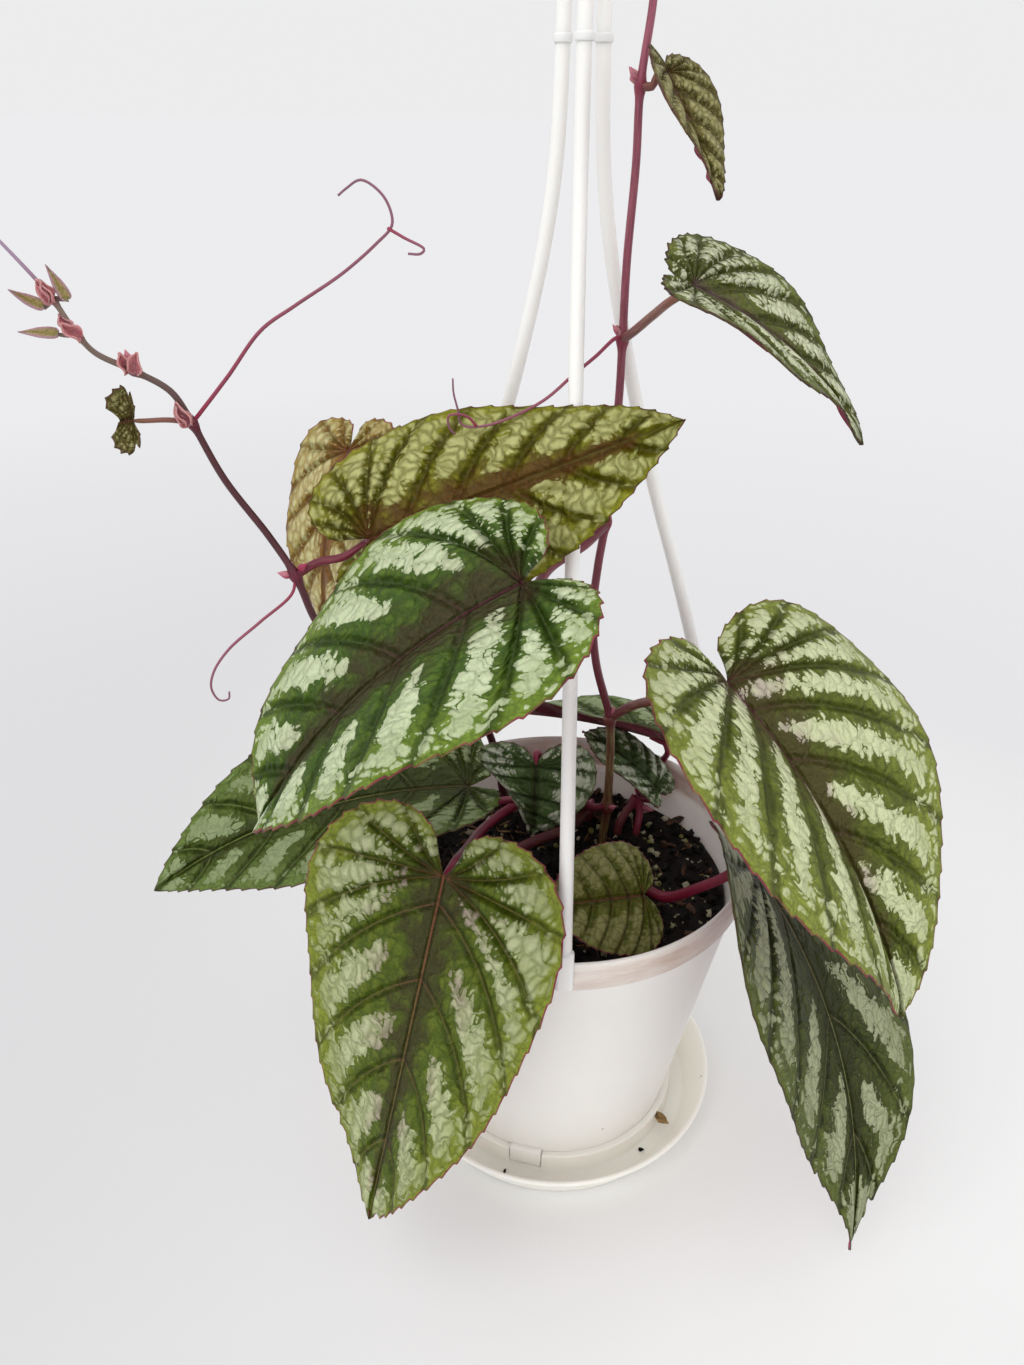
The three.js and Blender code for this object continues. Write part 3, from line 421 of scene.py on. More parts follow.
# Expanded perlite: white glass foam, stained yellow-green by algae, and full of tiny pores.
perlite_grain, tree, shader = surface("expanded_perlite", Roughness=0.9)
place = add(tree, "TexCoord", out=3)
stain = add(tree, "TexNoise", {"Vector": place, "Scale": 110.0, "Detail": 3.0})
tone = add(tree, "MapRange", [stain, 0.36, 0.6, 0.0, 1.0])
colour = add(tree, "Mix", {0: tone, 6: "#cfc9b4", 7: "#77753c"}, 2, data_type="RGBA")
tree.links.new(colour, shader.inputs["Base Color"])
pores = add(tree, "TexVoronoi", {"Vector": place, "Scale": 1500.0})
bump = add(tree, "Bump", {"Strength": 0.5, "Distance": 0.0004, "Height": pores})
tree.links.new(bump, shader.inputs["Normal"])

hold(soil, "potting_soil", "soil")
soil.data.materials.append(peat)
strewn = ((crumbs, peat), (bark, bark_wood), (fibres, straw), (perlite, perlite_grain),
          (saucer_crumbs, peat), (seed_husk, straw))
for piece, finish in strewn:
    piece.data.materials.append(finish)
    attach(piece, "root")
    smooth(piece, 50)


# The hanger is three bowed strands of white plastic, moulded with their hub and hook in one go. Each strand
# carries a small moulded ring near its top, and ends in a flat foot whose peg snaps into the pot's rim band.
STRAND_RADIUS = 2.1
FOOT_WIDTH, FOOT_DEPTH, FOOT_LOW, FOOT_HIGH = 6, 3.2, 121.5, 138
RING_OUT, RING_BOTTOM, RING_TOP = 6.2, 385, 387.4
HUB_BOTTOM, HUB_HEIGHT, HUB_RADIUS = 440, 9, 11
HOOK_RADIUS, HOOK_THICK, HOOK_THIN, KNOB_RADIUS = 14, 2.6, 2.1, 2.35
STRAND_ROUTE = [(6, 440), (6, 415), (6.2, 386), (7.5, 358), (11, 335), (19.5, 301), (31.5, 262),
                (44, 227), (57, 188), (66, 156), (71.6, 136)]


def smooth_path(points, step):
    """Even steps along the centripetal Catmull-Rom curve through the points, as in the source."""
    points = np.asarray(points, float)
    ends = np.vstack([2 * points[0] - points[1], points, 2 * points[-1] - points[-2]])
    dense = []
    share = np.linspace(0, 1, 24, endpoint=False)[:, None]
    for a, b, c, d in zip(ends, ends[1:], ends[2:], ends[3:]):
        first, second, third = (max(np.linalg.norm(q - p), 1e-4) ** 0.5 for p, q in ((a, b), (b, c), (c, d)))
        leave = ((b - a) / first - (c - a) / (first + second) + (c - b) / second) * second
        arrive = ((c - b) / second - (d - b) / (second + third) + (d - c) / third) * second
        curve = b + leave * share + (3 * (c - b) - 2 * leave - arrive) * share**2
        dense.append(curve + (2 * (b - c) + leave + arrive) * share**3)
    dense = np.vstack(dense + [points[-1:]])
    along = np.concatenate([[0], np.cumsum(np.linalg.norm(np.diff(dense, axis=0), axis=1))])
    even = np.linspace(0, along[-1], max(3, round(along[-1] / step) + 1))
    return np.column_stack([np.interp(even, along, dense[:, k]) for k in range(3)])


def tube(name, points, radii, step):
    """A round bar along a smooth path, its radius going evenly between two values."""
    path = smooth_path(points, step)
    share = np.linspace(0, 1, len(path))
    radius = radii[0] + (radii[1] - radii[0]) * share
    curve = bpy.data.curves.new(name, "CURVE")
    curve.dimensions = "3D"
    curve.bevel_depth = MM
    curve.bevel_resolution = 6
    curve.use_fill_caps = True
    spline = curve.splines.new("POLY")
    spline.points.add(len(path) - 1)
    spline.points.foreach_set("co", np.column_stack([path * MM, np.ones(len(path))]).ravel())
    spline.points.foreach_set("radius", radius)
    made = bpy.data.objects.new(name, curve)
    bpy.context.scene.collection.objects.link(made)
    pick(made)
    bpy.ops.object.convert(target="MESH")
    bpy.ops.object.shade_smooth()
    return made


hanger_plastic, tree, shader = plastic("white_polypropylene_hanger", "#f5f4f0", "#f8f7f3", -0.02)
for side, angle in STRAND_ANGLES.items():
    out = Vector((math.cos(math.radians(angle)), math.sin(math.radians(angle)), 0))
    route = [tuple(out * r + Vector((0, 0, h))) for r, h in STRAND_ROUTE]
    bar = tube("strand", route, (STRAND_RADIUS - 0.1, STRAND_RADIUS + 0.2), 3)
    ring_ends = [out * RING_OUT + Vector((0, 0, height)) for height in (RING_BOTTOM, RING_TOP)]
    ring = rod(STRAND_RADIUS + 0.5, *ring_ends)
    apply_modifier(ring, "BEVEL", width=0.5 * MM, segments=3)
    foot_middle = (RIM_RADIUS + 0.35 + FOOT_DEPTH / 2, 0, (FOOT_LOW + FOOT_HIGH) / 2)
    foot = block((FOOT_DEPTH, FOOT_WIDTH, FOOT_HIGH - FOOT_LOW), foot_middle, angle, 1.4, segments=5)
    height = Vector((0, 0, PEG_HEIGHT))
    inner_wall = RIM_RADIUS - WALL
    peg = rod(PEG_RADIUS, out * (RIM_RADIUS + 1.6) + height, out * (inner_wall - 1.9) + height)
    head = rod(PEG_RADIUS + 0.9, out * (inner_wall - 1.2) + height, out * (inner_wall - 2.6) + height)
    apply_modifier(head, "BEVEL", width=0.5 * MM, segments=2)
    strand = fused("hanger_strand_" + side, [bar, ring, foot, peg, head])
    smooth(strand, 40)
    strand.data.materials.clear()
    strand.data.materials.append(hanger_plastic)
    hold(strand, "hanger_plastic", "hanger_strand_" + side)

hub_top = HUB_BOTTOM + HUB_HEIGHT
hub = spun("hub", [
    (0, HUB_BOTTOM), (HUB_RADIUS - 1.2, HUB_BOTTOM), (HUB_RADIUS - 0.3, HUB_BOTTOM + 0.4),
    (HUB_RADIUS, HUB_BOTTOM + 1.2), (HUB_RADIUS, HUB_BOTTOM + 2.8), (HUB_RADIUS - 0.8, HUB_BOTTOM + 4),
    (5.6, hub_top - 1.6), (4.2, hub_top - 0.3), (3.4, hub_top), (0, hub_top),
], steps=64)
hook_centre = hub_top + 8 + HOOK_RADIUS
hook_route = [(0, 0, hub_top - 2), (0, 0, hub_top + 4), (2, 0, hub_top + 8)]
for angle in range(-70, 191, 26):
    x, z = HOOK_RADIUS * math.cos(math.radians(angle)), HOOK_RADIUS * math.sin(math.radians(angle))
    hook_route.append((x, 0, hook_centre + z))
hook_end = Vector(hook_route[-1])
hook = tube("hook", hook_route, (HOOK_THICK, HOOK_THIN), 1.5)
bpy.ops.object.select_all(action="DESELECT")
bpy.ops.mesh.primitive_uv_sphere_add(segments=20, ring_count=12, radius=KNOB_RADIUS * MM,
                                     location=hook_end * MM)
knob = bpy.context.active_object
bpy.ops.object.transform_apply(location=True, rotation=True, scale=True)
hanger_hook = fused("hanger_hook", [hub, hook, knob])
smooth(hanger_hook, 40)
hanger_hook.data.materials.clear()
hanger_hook.data.materials.append(hanger_plastic)
hold(hanger_hook, "hanger_plastic", "hanger_hook")


# The leaf blades: thin living tissue, 0.5 mm here, quilted between sunken veins. Each heart grew from a base
# where the stalk meets it, with veins that leave the base and the midrib in curves for a toothed margin.
# The upper skin is satin, green to purple-brown, with silver cells of air under it between the veins.
BLADE_THICK, QUILT = 0.5, 0.7
SINUS_START, WIDEST_AT = 0.08, 0.45
# base and the sizes are in millimetres, width being half of the blade's, and heading to twist are degrees.
# lobe and full shape the outline, and basal and lag say where the side veins leave the midrib. A bite is its
# side, its place along the margin, its reach there and its depth.
small = dict(rows=81, columns=16, teeth=16, wave=0.6, waves=2, tooth=0.6)
scale = dict(rows=36, columns=8, teeth=3, roll=-60, fold=20, lobe=0.3, full=0.2, tooth=0.1, wave=0, quilt=0.1)
LEAVES = {
    "leaf_middle": dict(base=(-12, -69, 261), length=106, width=42, heading=202, dip=20, roll=-15,
                        arch=48, fold=23, curl=37, twist=6, lobe=0.76, full=0.56, phase=0.1, wave=1.4),
    "leaf_front": dict(base=(-36.5, -59, 155), length=126, width=47, heading=238, dip=68, roll=-10,
                       arch=1, fold=7, twist=27, lobe=0.91, full=0.6, phase=0.4, wave=1.6, basal=0.55,
                       bites=[(-1, 0.795, 0.008, 1.7), (-1, 0.83, 0.008, 1.1), (1, 0.985, 0.02, 2.5),
                              (-1, 0.985, 0.02, 2.5)]),
    "leaf_right": dict(base=(50, -33, 214), length=124, width=56, heading=318, dip=30, roll=-5, arch=47,
                       fold=34, curl=46, sweep=13, twist=7, lobe=0.78, full=0.18, phase=0.2, wave=1.4,
                       basal=0.46, lag=1.7),
    "leaf_right_low": dict(base=(67, -28, 139), length=143, width=50, heading=321, dip=41, roll=-24,
                           arch=44, fold=11, curl=12, twist=49, lobe=0.9, full=0.07, phase=0.7, wave=1.8,
                           basal=0.6, veins=8, rows=136,
                           bites=[(-1, 0.78, 0.006, 1.4), (1, 0.9, 0.006, 2.6)]),
    "leaf_left_low": dict(base=(-34, -6, 153.5), length=125, width=39, heading=189, dip=-3, roll=2,
                          arch=42, fold=13, twist=-52, lobe=0.5, full=0.34, phase=0.5),
    "leaf_across": dict(base=(-58, -35.6, 259.4), length=96, width=31, heading=355, dip=-24, roll=72.5,
                        arch=9, fold=-14, curl=13, twist=-17, full=0.49, phase=0.3, veins=11, rows=132),
    "leaf_behind": dict(base=(-73, 14, 271), length=67, width=29, heading=238, dip=53, roll=17, arch=37,
                        curl=-8, twist=8, full=0.5, phase=0.6, teeth=21, rows=108, columns=20),
    "leaf_back": dict(base=(42, 51, 141), length=81, width=29, heading=163, dip=-8, roll=19, arch=18,
                      fold=20, curl=8, twist=10, lobe=0.7, full=0.53, phase=0.8, teeth=21, rows=108,
                      columns=20),
    "leaf_climbing": dict(base=(30, -34, 330), length=68, width=24, heading=1, dip=23, roll=18, arch=35,
                          fold=12, curl=-1, twist=4, lobe=0.78, full=0, phase=0.2, wave=0.8, columns=20,
                          basal=0.6, veins=10, rows=120),
    "leaf_climbing_top": small | dict(base=(21, -14, 378), length=35, width=13, heading=315, dip=52,
                                      roll=-8, arch=4, fold=18, curl=4, twist=-4, lobe=0.82, full=0.45),
    "leaf_soil": small | dict(base=(30, -26, 123), length=41, width=20, heading=217, dip=-20, roll=-46,
                              arch=10, fold=7, curl=11, lobe=0.88, full=1.06, phase=0.3, quilt=0.9,
                              rows=99, teeth=20, columns=22),
    "leaf_crown": small | dict(base=(-9, -19, 172), length=41, width=24, heading=254, dip=83, roll=-18,
                               arch=48, fold=-22, curl=16, twist=33, full=0, phase=0.6),
    "leaf_crown_young": small | dict(base=(37, 31, 131), length=37, width=16, heading=151, dip=-42,
                                     roll=11, arch=32, fold=12, curl=10, twist=-15, full=0.59, wave=1.2,
                                     quilt=0.7),
    "leaf_lobed_young": small | dict(base=(-118, -46, 296), length=9.5, width=9, heading=184, dip=6,
                                     roll=-70, fold=10, full=0.5, teeth=7, rows=63, columns=12,
                                     tooth=0.8, wave=0.8, quilt=0.35, cleft=0.62,
                                     bites=[(side, 0.3, 0.03, 1.6) for side in (-1, 1)]),
    "tip_blade_low": scale | dict(base=(-131.5, -51.5, 319.5), length=10, width=1.6, heading=184,
                                  dip=-2),
    "tip_blade_left": scale | dict(base=(-132.5, -54, 326.5), length=9, width=1.6, heading=185, dip=-20,
                                   arch=-60),
    "tip_blade_right": scale | dict(base=(-127, -52, 328), length=9, width=1.6, heading=182, dip=-64,
                                    arch=-12),
    "crest_blade": small | dict(base=(15, -18, 424), length=17, width=5, heading=290, dip=-20, fold=25,
                                arch=40, lobe=0.6, full=0.3, rows=45, teeth=8, columns=8, tooth=0.3,
                                wave=0),
}


def bezier(points, t):
    """A point of a cubic curve, for each value of t."""
    a, b, c, d = (np.array(p, float) for p in points)
    t = t[..., None]
    return a * (1 - t) ** 3 + 3 * b * t * (1 - t) ** 2 + 3 * c * t**2 * (1 - t) + d * t**3


def margin_at(place, lobe, full):
    """Half of the flat outline, from the notch at its base to its tip, as shares of length and width."""
    back = bezier([(0, 0.03), (-0.26 * lobe, 0.02), (-0.24 * lobe, 1), (0.17, 1)], place / WIDEST_AT)
    shoulder = (0.8 + 0.1 * full, 0.12 + 0.6 * full)
    front = bezier([(0.17, 1), (0.5, 1), shoulder, (1, 0)], (place - WIDEST_AT) / (1 - WIDEST_AT))
    return np.where((place < WIDEST_AT)[..., None], back, front)


def blade_frame(heading, dip, roll):
    """The directions of a blade at its base: along the midrib, to its left, and up out of its face."""
    h, d, r = (math.radians(a) for a in (heading, dip, roll))
    along = Vector((math.cos(h) * math.cos(d), math.sin(h) * math.cos(d), -math.sin(d)))
    left = Vector((-math.sin(h), math.cos(h), 0))
    face = along.cross(left)
    turn = Matrix.Rotation(r, 3, along)
    return along, turn @ left, turn @ face


def bend(u, v, height, blade):
    """Puts flat points at a height over the face in their place on the bent blade, as in the source."""
    fold, curl = (math.radians(blade.get(k, 0)) for k in ("fold", "curl"))
    twist, sweep, arch = (math.radians(blade.get(k, 0)) for k in ("twist", "sweep", "arch"))
    length, width = blade["length"], blade["width"]
    out, side = np.abs(v), np.sign(v)
    mean = fold - curl * out / (2 * width)
    slope = fold - curl * out / width
    x = u
    y = side * (out * np.cos(mean) - height * np.sin(slope))
    z = out * np.sin(mean) + height * np.cos(slope)
    turn = twist * u / length
    y, z = y * np.cos(turn) - z * np.sin(turn), y * np.sin(turn) + z * np.cos(turn)
    if sweep:
        radius = length / sweep
        x, y = (radius - y) * np.sin(x / radius), radius - (radius - y) * np.cos(x / radius)
    if arch:
        radius = length / arch
        x, z = (radius + z) * np.sin(x / radius), (radius + z) * np.cos(x / radius) - radius
    along, left, face = blade_frame(blade["heading"], blade["dip"], blade.get("roll", 0))
    return np.array(blade["base"], float) + np.stack([x, y, z], -1) @ np.array([along, left, face])


def flat_half(blade, side):
    """One half of the flat blade as a grid of rows along its veins, with teeth and bites at the margin.
    Gives u, v, where each row starts on the midrib, and the height of the quilting and ripples."""
    rows, columns, teeth = blade.get("rows", 135), blade.get("columns", 26), blade.get("teeth", 27)
    basal, length, width = blade.get("basal", 0.5), blade["length"], blade["width"]
    share = np.linspace(0, 1, rows + 1)[:, None]
    place = SINUS_START + (1 - SINUS_START) * share
    out = np.linspace(0, 1, columns + 1)[None, :] ** 0.85
    start = np.maximum(0, (place - basal) / (1 - basal)) ** blade.get("lag", 1.1)
    end = margin_at(place[:, 0], blade.get("lobe", 1), blade.get("full", 0.5))[:, None, :]
    bend_x = start + 0.3 * (end[..., 0] - start)
    bend_y = 0.6 * end[..., 1]
    u = (start * (1 - out) ** 2 + 2 * bend_x * out * (1 - out) + end[..., 0] * out**2) * length
    v = (2 * bend_y * out * (1 - out) + end[..., 1] * out**2) * width
    reach = np.stack([(end[..., 0] - bend_x) * length, (end[..., 1] - bend_y) * width], -1)
    reach /= np.maximum(np.linalg.norm(reach, axis=-1, keepdims=True), 1e-6)
    saw = (share * teeth) % 1
    point = np.where(saw < 0.85, (saw / 0.8) ** 2.2, (1 - saw) / 0.3) - 0.3
    push = blade.get("tooth", 1.0) * point * np.minimum(1, (1 - share) * 12)
    push = push * np.clip((out - 0.88) / 0.12, 0, 1) ** 1.6
    for bite_side, where, reach_along, depth in blade.get("bites", ()):
        if bite_side == side:
            ragged = 1 + 0.2 * np.sin(share * 900)
            mouth = np.exp(-(((share - where) / reach_along) ** 4)) * ragged
            push = push - depth * mouth * np.clip((out - 0.75) / 0.25, 0, 1) ** 1.3
    u, v = u + push * reach[..., 0], v + push * reach[..., 1]
    u = u * (1 - blade.get("cleft", 0) * np.exp(-((v / (0.42 * width)) ** 2)))
    v[:, 0] = 0
    u[-1], v[-1] = length * (1 - blade.get("cleft", 0)), 0
    valley = 1 - 2 * (1 - np.abs(np.sin(math.pi * blade.get("veins", 9) * share))) ** 2
    wave, waves = blade.get("wave", 1.2), blade.get("waves", 3)
    quilt = blade.get("quilt", QUILT) * valley * np.sin(math.pi * out)
    ripple = wave * out**2 * np.sin(2 * math.pi * (waves * place + blade.get("phase", 0) + 0.3 * side))
    lift = np.where(out > 0, quilt + ripple, 0)
    lift[-1] = 0
    return u, np.maximum(v, 0), start, lift, share, out


def blade_object(name, blade):
    """A whole blade with its upper and lower skins, its toothed margin, and what its material reads."""
    corners, known, faces, values = [], {}, [], []
    veins = blade.get("veins", 9)
    for s, side in enumerate((1, -1)):
        u, v, start, lift, share, out = flat_half(blade, side)
        rows, columns = u.shape[0] - 1, u.shape[1] - 1
        number = np.zeros((2, rows + 1, columns + 1), int)
        for t, top in enumerate((0.5, -0.5)):
            points = bend(u, np.where(v > 0, side * v, side * 1e-9), lift + top * BLADE_THICK, blade)
            for i in range(rows + 1):
                for j in range(columns + 1):
                    middle = j == 0 or i == rows
                    key = (t, round(float(start[i, 0]), 6) if i < rows else 1.0) if middle else (s, t, i, j)
                    if key not in known:
                        known[key] = len(corners)
                        corners.append(points[i, j])
                    number[t, i, j] = known[key]
        run = np.cumsum(np.hypot(np.diff(u, prepend=u[:, :1]), np.diff(v, prepend=v[:, :1])), axis=1)
        du, dv = np.gradient(u), np.gradient(v)
        area = np.abs(du[0] * dv[1] - dv[0] * du[1])
        span = area / np.maximum(np.hypot(du[1], dv[1]), 1e-6) * rows / veins
        vein = veins * share + 20 * s + 0 * out
        # How far a row's neighbour is ahead of it, so that cells can lie square across the rows
        length = np.maximum(np.hypot(du[1], dv[1]), 1e-6)
        ahead = (du[0] * du[1] + dv[0] * dv[1]) / length - np.gradient(run, axis=0)
        slant = np.clip(ahead * length / np.maximum(area, 1e-6), -1.6, 1.6)
        grids = [vein, out + 0 * share, run, span, run[:, -1:] - run, u, v, slant]
        values.append(np.stack(grids, -1))
        for t in (0, 1):
            n = number[t]
            for i in range(rows):
                for j in range(columns):
                    ring = [(i, j), (i + 1, j), (i + 1, j + 1), (i, j + 1)]
                    faces.append(([n[a] for a in ring], ring, s, s ^ t, t))
        tops, lows = number
        rim = [((i, columns), (i + 1, columns)) for i in range(rows)]
        rim += [((0, j), (0, j + 1)) for j in range(columns)]
        for a, b in rim:
            faces.append(([tops[a], tops[b], lows[b], lows[a]], [a, b, b, a], s, s, 0))
    polygons, marks, skins = [], [], []
    for numbers, places, s, turned, skin in faces:
        kept = [k for k in range(4) if numbers[k] not in numbers[:k]]
        if len(kept) < 3:
            continue
        if turned:
            kept.reverse()
        polygons.append([numbers[k] for k in kept])
        marks += [values[s][places[k]] for k in kept]
        skins.append(skin)
    marks = np.array(marks, np.float32)
    made = mesh_object(name, corners, polygons)
    made.data.polygons.foreach_set("material_index", skins)
    for k, key in enumerate(("vein", "out", "run", "span", "edge", "u", "v", "slant")):
        paint(made, key, "FLOAT", "CORNER", marks[:, k])
    flat = made.data.uv_layers.new(name="flat")
    sign = np.where(marks[:, 0] >= 20, -1, 1)
    flat.data.foreach_set("uv", (np.column_stack([marks[:, 5], sign * marks[:, 6]]) * MM * 4 + 0.5).ravel())
    pick(made)
    bpy.ops.object.shade_smooth()
    return made


def back_ribs(blade):
    """The midrib and side veins that stand out of the back of a blade, thinner towards tip and margin."""
    stout = blade["length"] / 150
    curve = bpy.data.curves.new("ribs", "CURVE")
    curve.dimensions = "3D"
    curve.bevel_depth = MM
    curve.bevel_resolution = 1
    curve.use_fill_caps = True

    def strand(points, radii):
        spline = curve.splines.new("POLY")
        spline.points.add(len(points) - 1)
        spline.points.foreach_set("co", np.column_stack([points * MM, np.ones(len(points))]).ravel())
        spline.points.foreach_set("radius", radii)

    along = np.linspace(0, 0.86, 40)
    radii = np.interp(along, (0, 1), (0.95 * stout, 0.12))
    midrib = along * blade["length"] * (1 - blade.get("cleft", 0))
    strand(bend(midrib, 0 * along, -BLADE_THICK / 2 - radii * 0.4, blade), radii)
    for side in (1, -1):
        u, v, _, lift, _, out = flat_half(blade, side)
        rows, columns, veins = u.shape[0] - 1, u.shape[1] - 1, blade.get("veins", 9)
        for vein in range(1, veins - 1):
            row, last = vein * rows // veins, int(columns * 0.9)
            radii = np.interp(out[0, : last + 1], (0, 1), (0.5 * stout, 0.1))
            height = lift[row, : last + 1] - BLADE_THICK / 2 - radii * 0.35
            strand(bend(u[row, : last + 1], side * v[row, : last + 1], height, blade), radii)
    made = bpy.data.objects.new("ribs", curve)
    bpy.context.scene.collection.objects.link(made)
    pick(made)
    bpy.ops.object.convert(target="MESH")
    bpy.ops.object.shade_smooth()
    made.data.materials.clear()
    return made


def leaf_skin(name, deep, green, bright, centre, silver, blush, *, patch, rib, margin="#8a3048", cell=4.6,
              widest=5.2, ragged=1.0, inner=0.2, outer=0.92, loose_share=0.5, dark_to=0.42, puff_highlight=0.25,
              groove_shade=0.75, sallow=0.3, rosy=0.5, blush_to=0.32, soft=0.1, net=0.3, net_width=0.13,
              glow=0.05):
    """Upper skin: rows of silver cells between the veins, loose ones by the margin, a dark middle, a crimson
    rim. cell, widest: sizes in mm. inner, outer, dark_to, blush_to: shares of the way out to the margin."""
    made, tree, shader = surface(name, Roughness=0.42, IOR=1.45)
    shader.inputs["Specular IOR Level"].default_value = 0.22
    shader.inputs["Subsurface Weight"].default_value = glow
    shader.inputs["Subsurface Radius"].default_value = (0.6, 1.0, 0.3)
    shader.inputs["Subsurface Scale"].default_value = 0.0015
    smoothly = {"interpolation_type": "SMOOTHSTEP"}
    keys = ("vein", "out", "run", "span", "edge", "u", "v", "slant")
    vein, out, run, span, edge, along, aside, slant = (
        add(tree, "Attribute", out=2, attribute_name=key) for key in keys
    )
    flat = add(tree, "UVMap", uv_map="flat")
    coarse = add(tree, "TexNoise", {"Vector": flat, "Scale": 40.0, "Detail": 2.0})
    fine = add(tree, "TexNoise", {"Vector": flat, "Scale": 260.0, "Detail": 4.0, "Roughness": 0.65})

    # Where a point lies between two veins
    wander = add(tree, "MapRange", [coarse, 0.25, 0.75, -0.1, 0.1])
    vein_here = add(tree, "Math", [vein, wander], operation="ADD")
    interval = add(tree, "Math", [vein_here], operation="FLOOR")
    across = add(tree, "Math", [vein_here], operation="FRACT")
    across = add(tree, "Math", [across, 0.5], operation="SUBTRACT")
    off_middle = add(tree, "Math", [across, span], operation="MULTIPLY")
    from_middle = add(tree, "Math", [off_middle], operation="ABSOLUTE")
    ahead = add(tree, "Math", [off_middle, slant], operation="MULTIPLY")
    run = add(tree, "Math", [run, ahead], operation="ADD")
    luck = add(tree, "TexWhiteNoise", {"W": interval}, 0, noise_dimensions="1D")
    other = add(tree, "Math", [luck, 7.3], operation="MULTIPLY")
    other = add(tree, "Math", [other], operation="FRACT")

    # One row of silver between two veins, widest halfway out, that stops short of the margin
    stouter = add(tree, "MapRange", [other, 0.0, 1.0, 0.85, 1.2])
    half = add(tree, "Math", [span, patch * 0.5], operation="MULTIPLY")
    half = add(tree, "Math", [half, stouter], operation="MULTIPLY")
    half = add(tree, "Math", [half, widest], operation="MINIMUM")
    number = add(tree, "Math", [interval, 20.0], operation="MODULO")
    later = add(tree, "MapRange", [number, 0.0, 4.0, 0.25, 0.0])
    begins_at = add(tree, "MapRange", [luck, 0.0, 1.0, inner - 0.06, inner + 0.17])
    begins_at = add(tree, "Math", [begins_at, later], operation="ADD")
    whole_at = add(tree, "Math", [begins_at, 0.3], operation="ADD")
    begins = add(tree, "MapRange", [out, begins_at, whole_at, 0.0, 1.0])
    ends = add(tree, "MapRange", [out, outer - 0.08, outer, 1.0, 0.0], **smoothly)
    there = add(tree, "Math", [begins, ends], operation="MULTIPLY")
    body = add(tree, "Math", [there], operation="SQRT")
    faded = add(tree, "MapRange", [there, 0.0, 0.2, 2.4, 0.0], **smoothly)
    row_depth = add(tree, "Math", [half, body], operation="MULTIPLY")
    row_depth = add(tree, "Math", [row_depth, faded], operation="SUBTRACT")

    # Beside the margin lie loose cells, each by itself
    far_out = add(tree, "MapRange", [out, outer - 0.2, outer - 0.1, 0.0, 1.0], **smoothly)
    off_rim = add(tree, "MapRange", [out, 0.96, 1.0, 1.0, 0.0], **smoothly)
    by_margin = add(tree, "Math", [far_out, off_rim], operation="MULTIPLY")
    loose = add(tree, "MapRange", [by_margin, 0.0, 1.0, -9.0, loose_share - 0.7])

    def lumps(size, with_loose):
        """Cells of the fine net of veins: silver all over inside the row, at its edge on their crowns."""
        squeeze = 0.7
        shift = add(tree, "Math", [interval, 61.0], operation="MULTIPLY")
        drift = add(tree, "Math", [coarse, 0.5], operation="SUBTRACT")
        drift = add(tree, "Math", [drift, size * 0.7], operation="MULTIPLY")
        run_here = add(tree, "Math", [run, shift], operation="ADD")
        run_here = add(tree, "Math", [run_here, drift], operation="ADD")
        across_here = add(tree, "Math", [off_middle, squeeze], operation="MULTIPLY")
        place = add(tree, "CombineXYZ", [run_here, across_here, 0.0])
        at = {"Vector": place, "Scale": 1 / size}
        from_crown = add(tree, "TexVoronoi", at, voronoi_dimensions="2D")
        wall = add(tree, "TexVoronoi", at, voronoi_dimensions="2D", feature="DISTANCE_TO_EDGE")
        crown = add(tree, "SeparateXYZ", [from_crown.node.outputs["Position"]], 1)
        crown = add(tree, "Math", [crown], operation="ABSOLUTE")
        crown = add(tree, "Math", [crown, 1 / squeeze], operation="MULTIPLY")
        chance = add(tree, "Math", [from_crown.node.outputs["Color"], 0.0], operation="ADD")
        chance = add(tree, "MapRange", [chance, 0.15, 0.85, -1.0, 1.0])
        uneven = add(tree, "Math", [chance, 0.7 * ragged], operation="MULTIPLY")
        inside = add(tree, "Math", [row_depth, crown], operation="SUBTRACT")
        inside = add(tree, "Math", [inside, uneven], operation="ADD")
        if with_loose:
            by_itself = add(tree, "Math", [loose, chance], operation="ADD")
            inside = add(tree, "Math", [inside, by_itself], operation="MAXIMUM")
        radius = add(tree, "MapRange", [inside, -2.1, 3.0, -0.3, 1.1])
        feather = add(tree, "MapRange", [fine, 0.3, 0.7, -0.15, 0.15])
        feathered = add(tree, "Math", [from_crown, feather], operation="ADD")
        within = add(tree, "Math", [radius, feathered], operation="SUBTRACT")
        share = add(tree, "MapRange", [within, -0.6 * soft, 1.4 * soft, 0.0, 1.0], **smoothly)
        return share, wall, from_crown

    big, web, from_crown = lumps(cell * 0.72, True)
    little, little_web, _ = lumps(cell * 0.3, False)
    little = add(tree, "Math", [little, 0.9], operation="MULTIPLY")
    silvered = add(tree, "Math", [big, little], operation="MAXIMUM")

    def layered(ground, layers):
        """Colours laid on a ground, each as a value, its range, the shares at both ends and the colour."""
        for *reach, colour in layers:
            share = add(tree, "MapRange", reach, **smoothly)
            ground = add(tree, "Mix", {0: share, 6: ground, 7: colour}, 2, data_type="RGBA")
        return ground
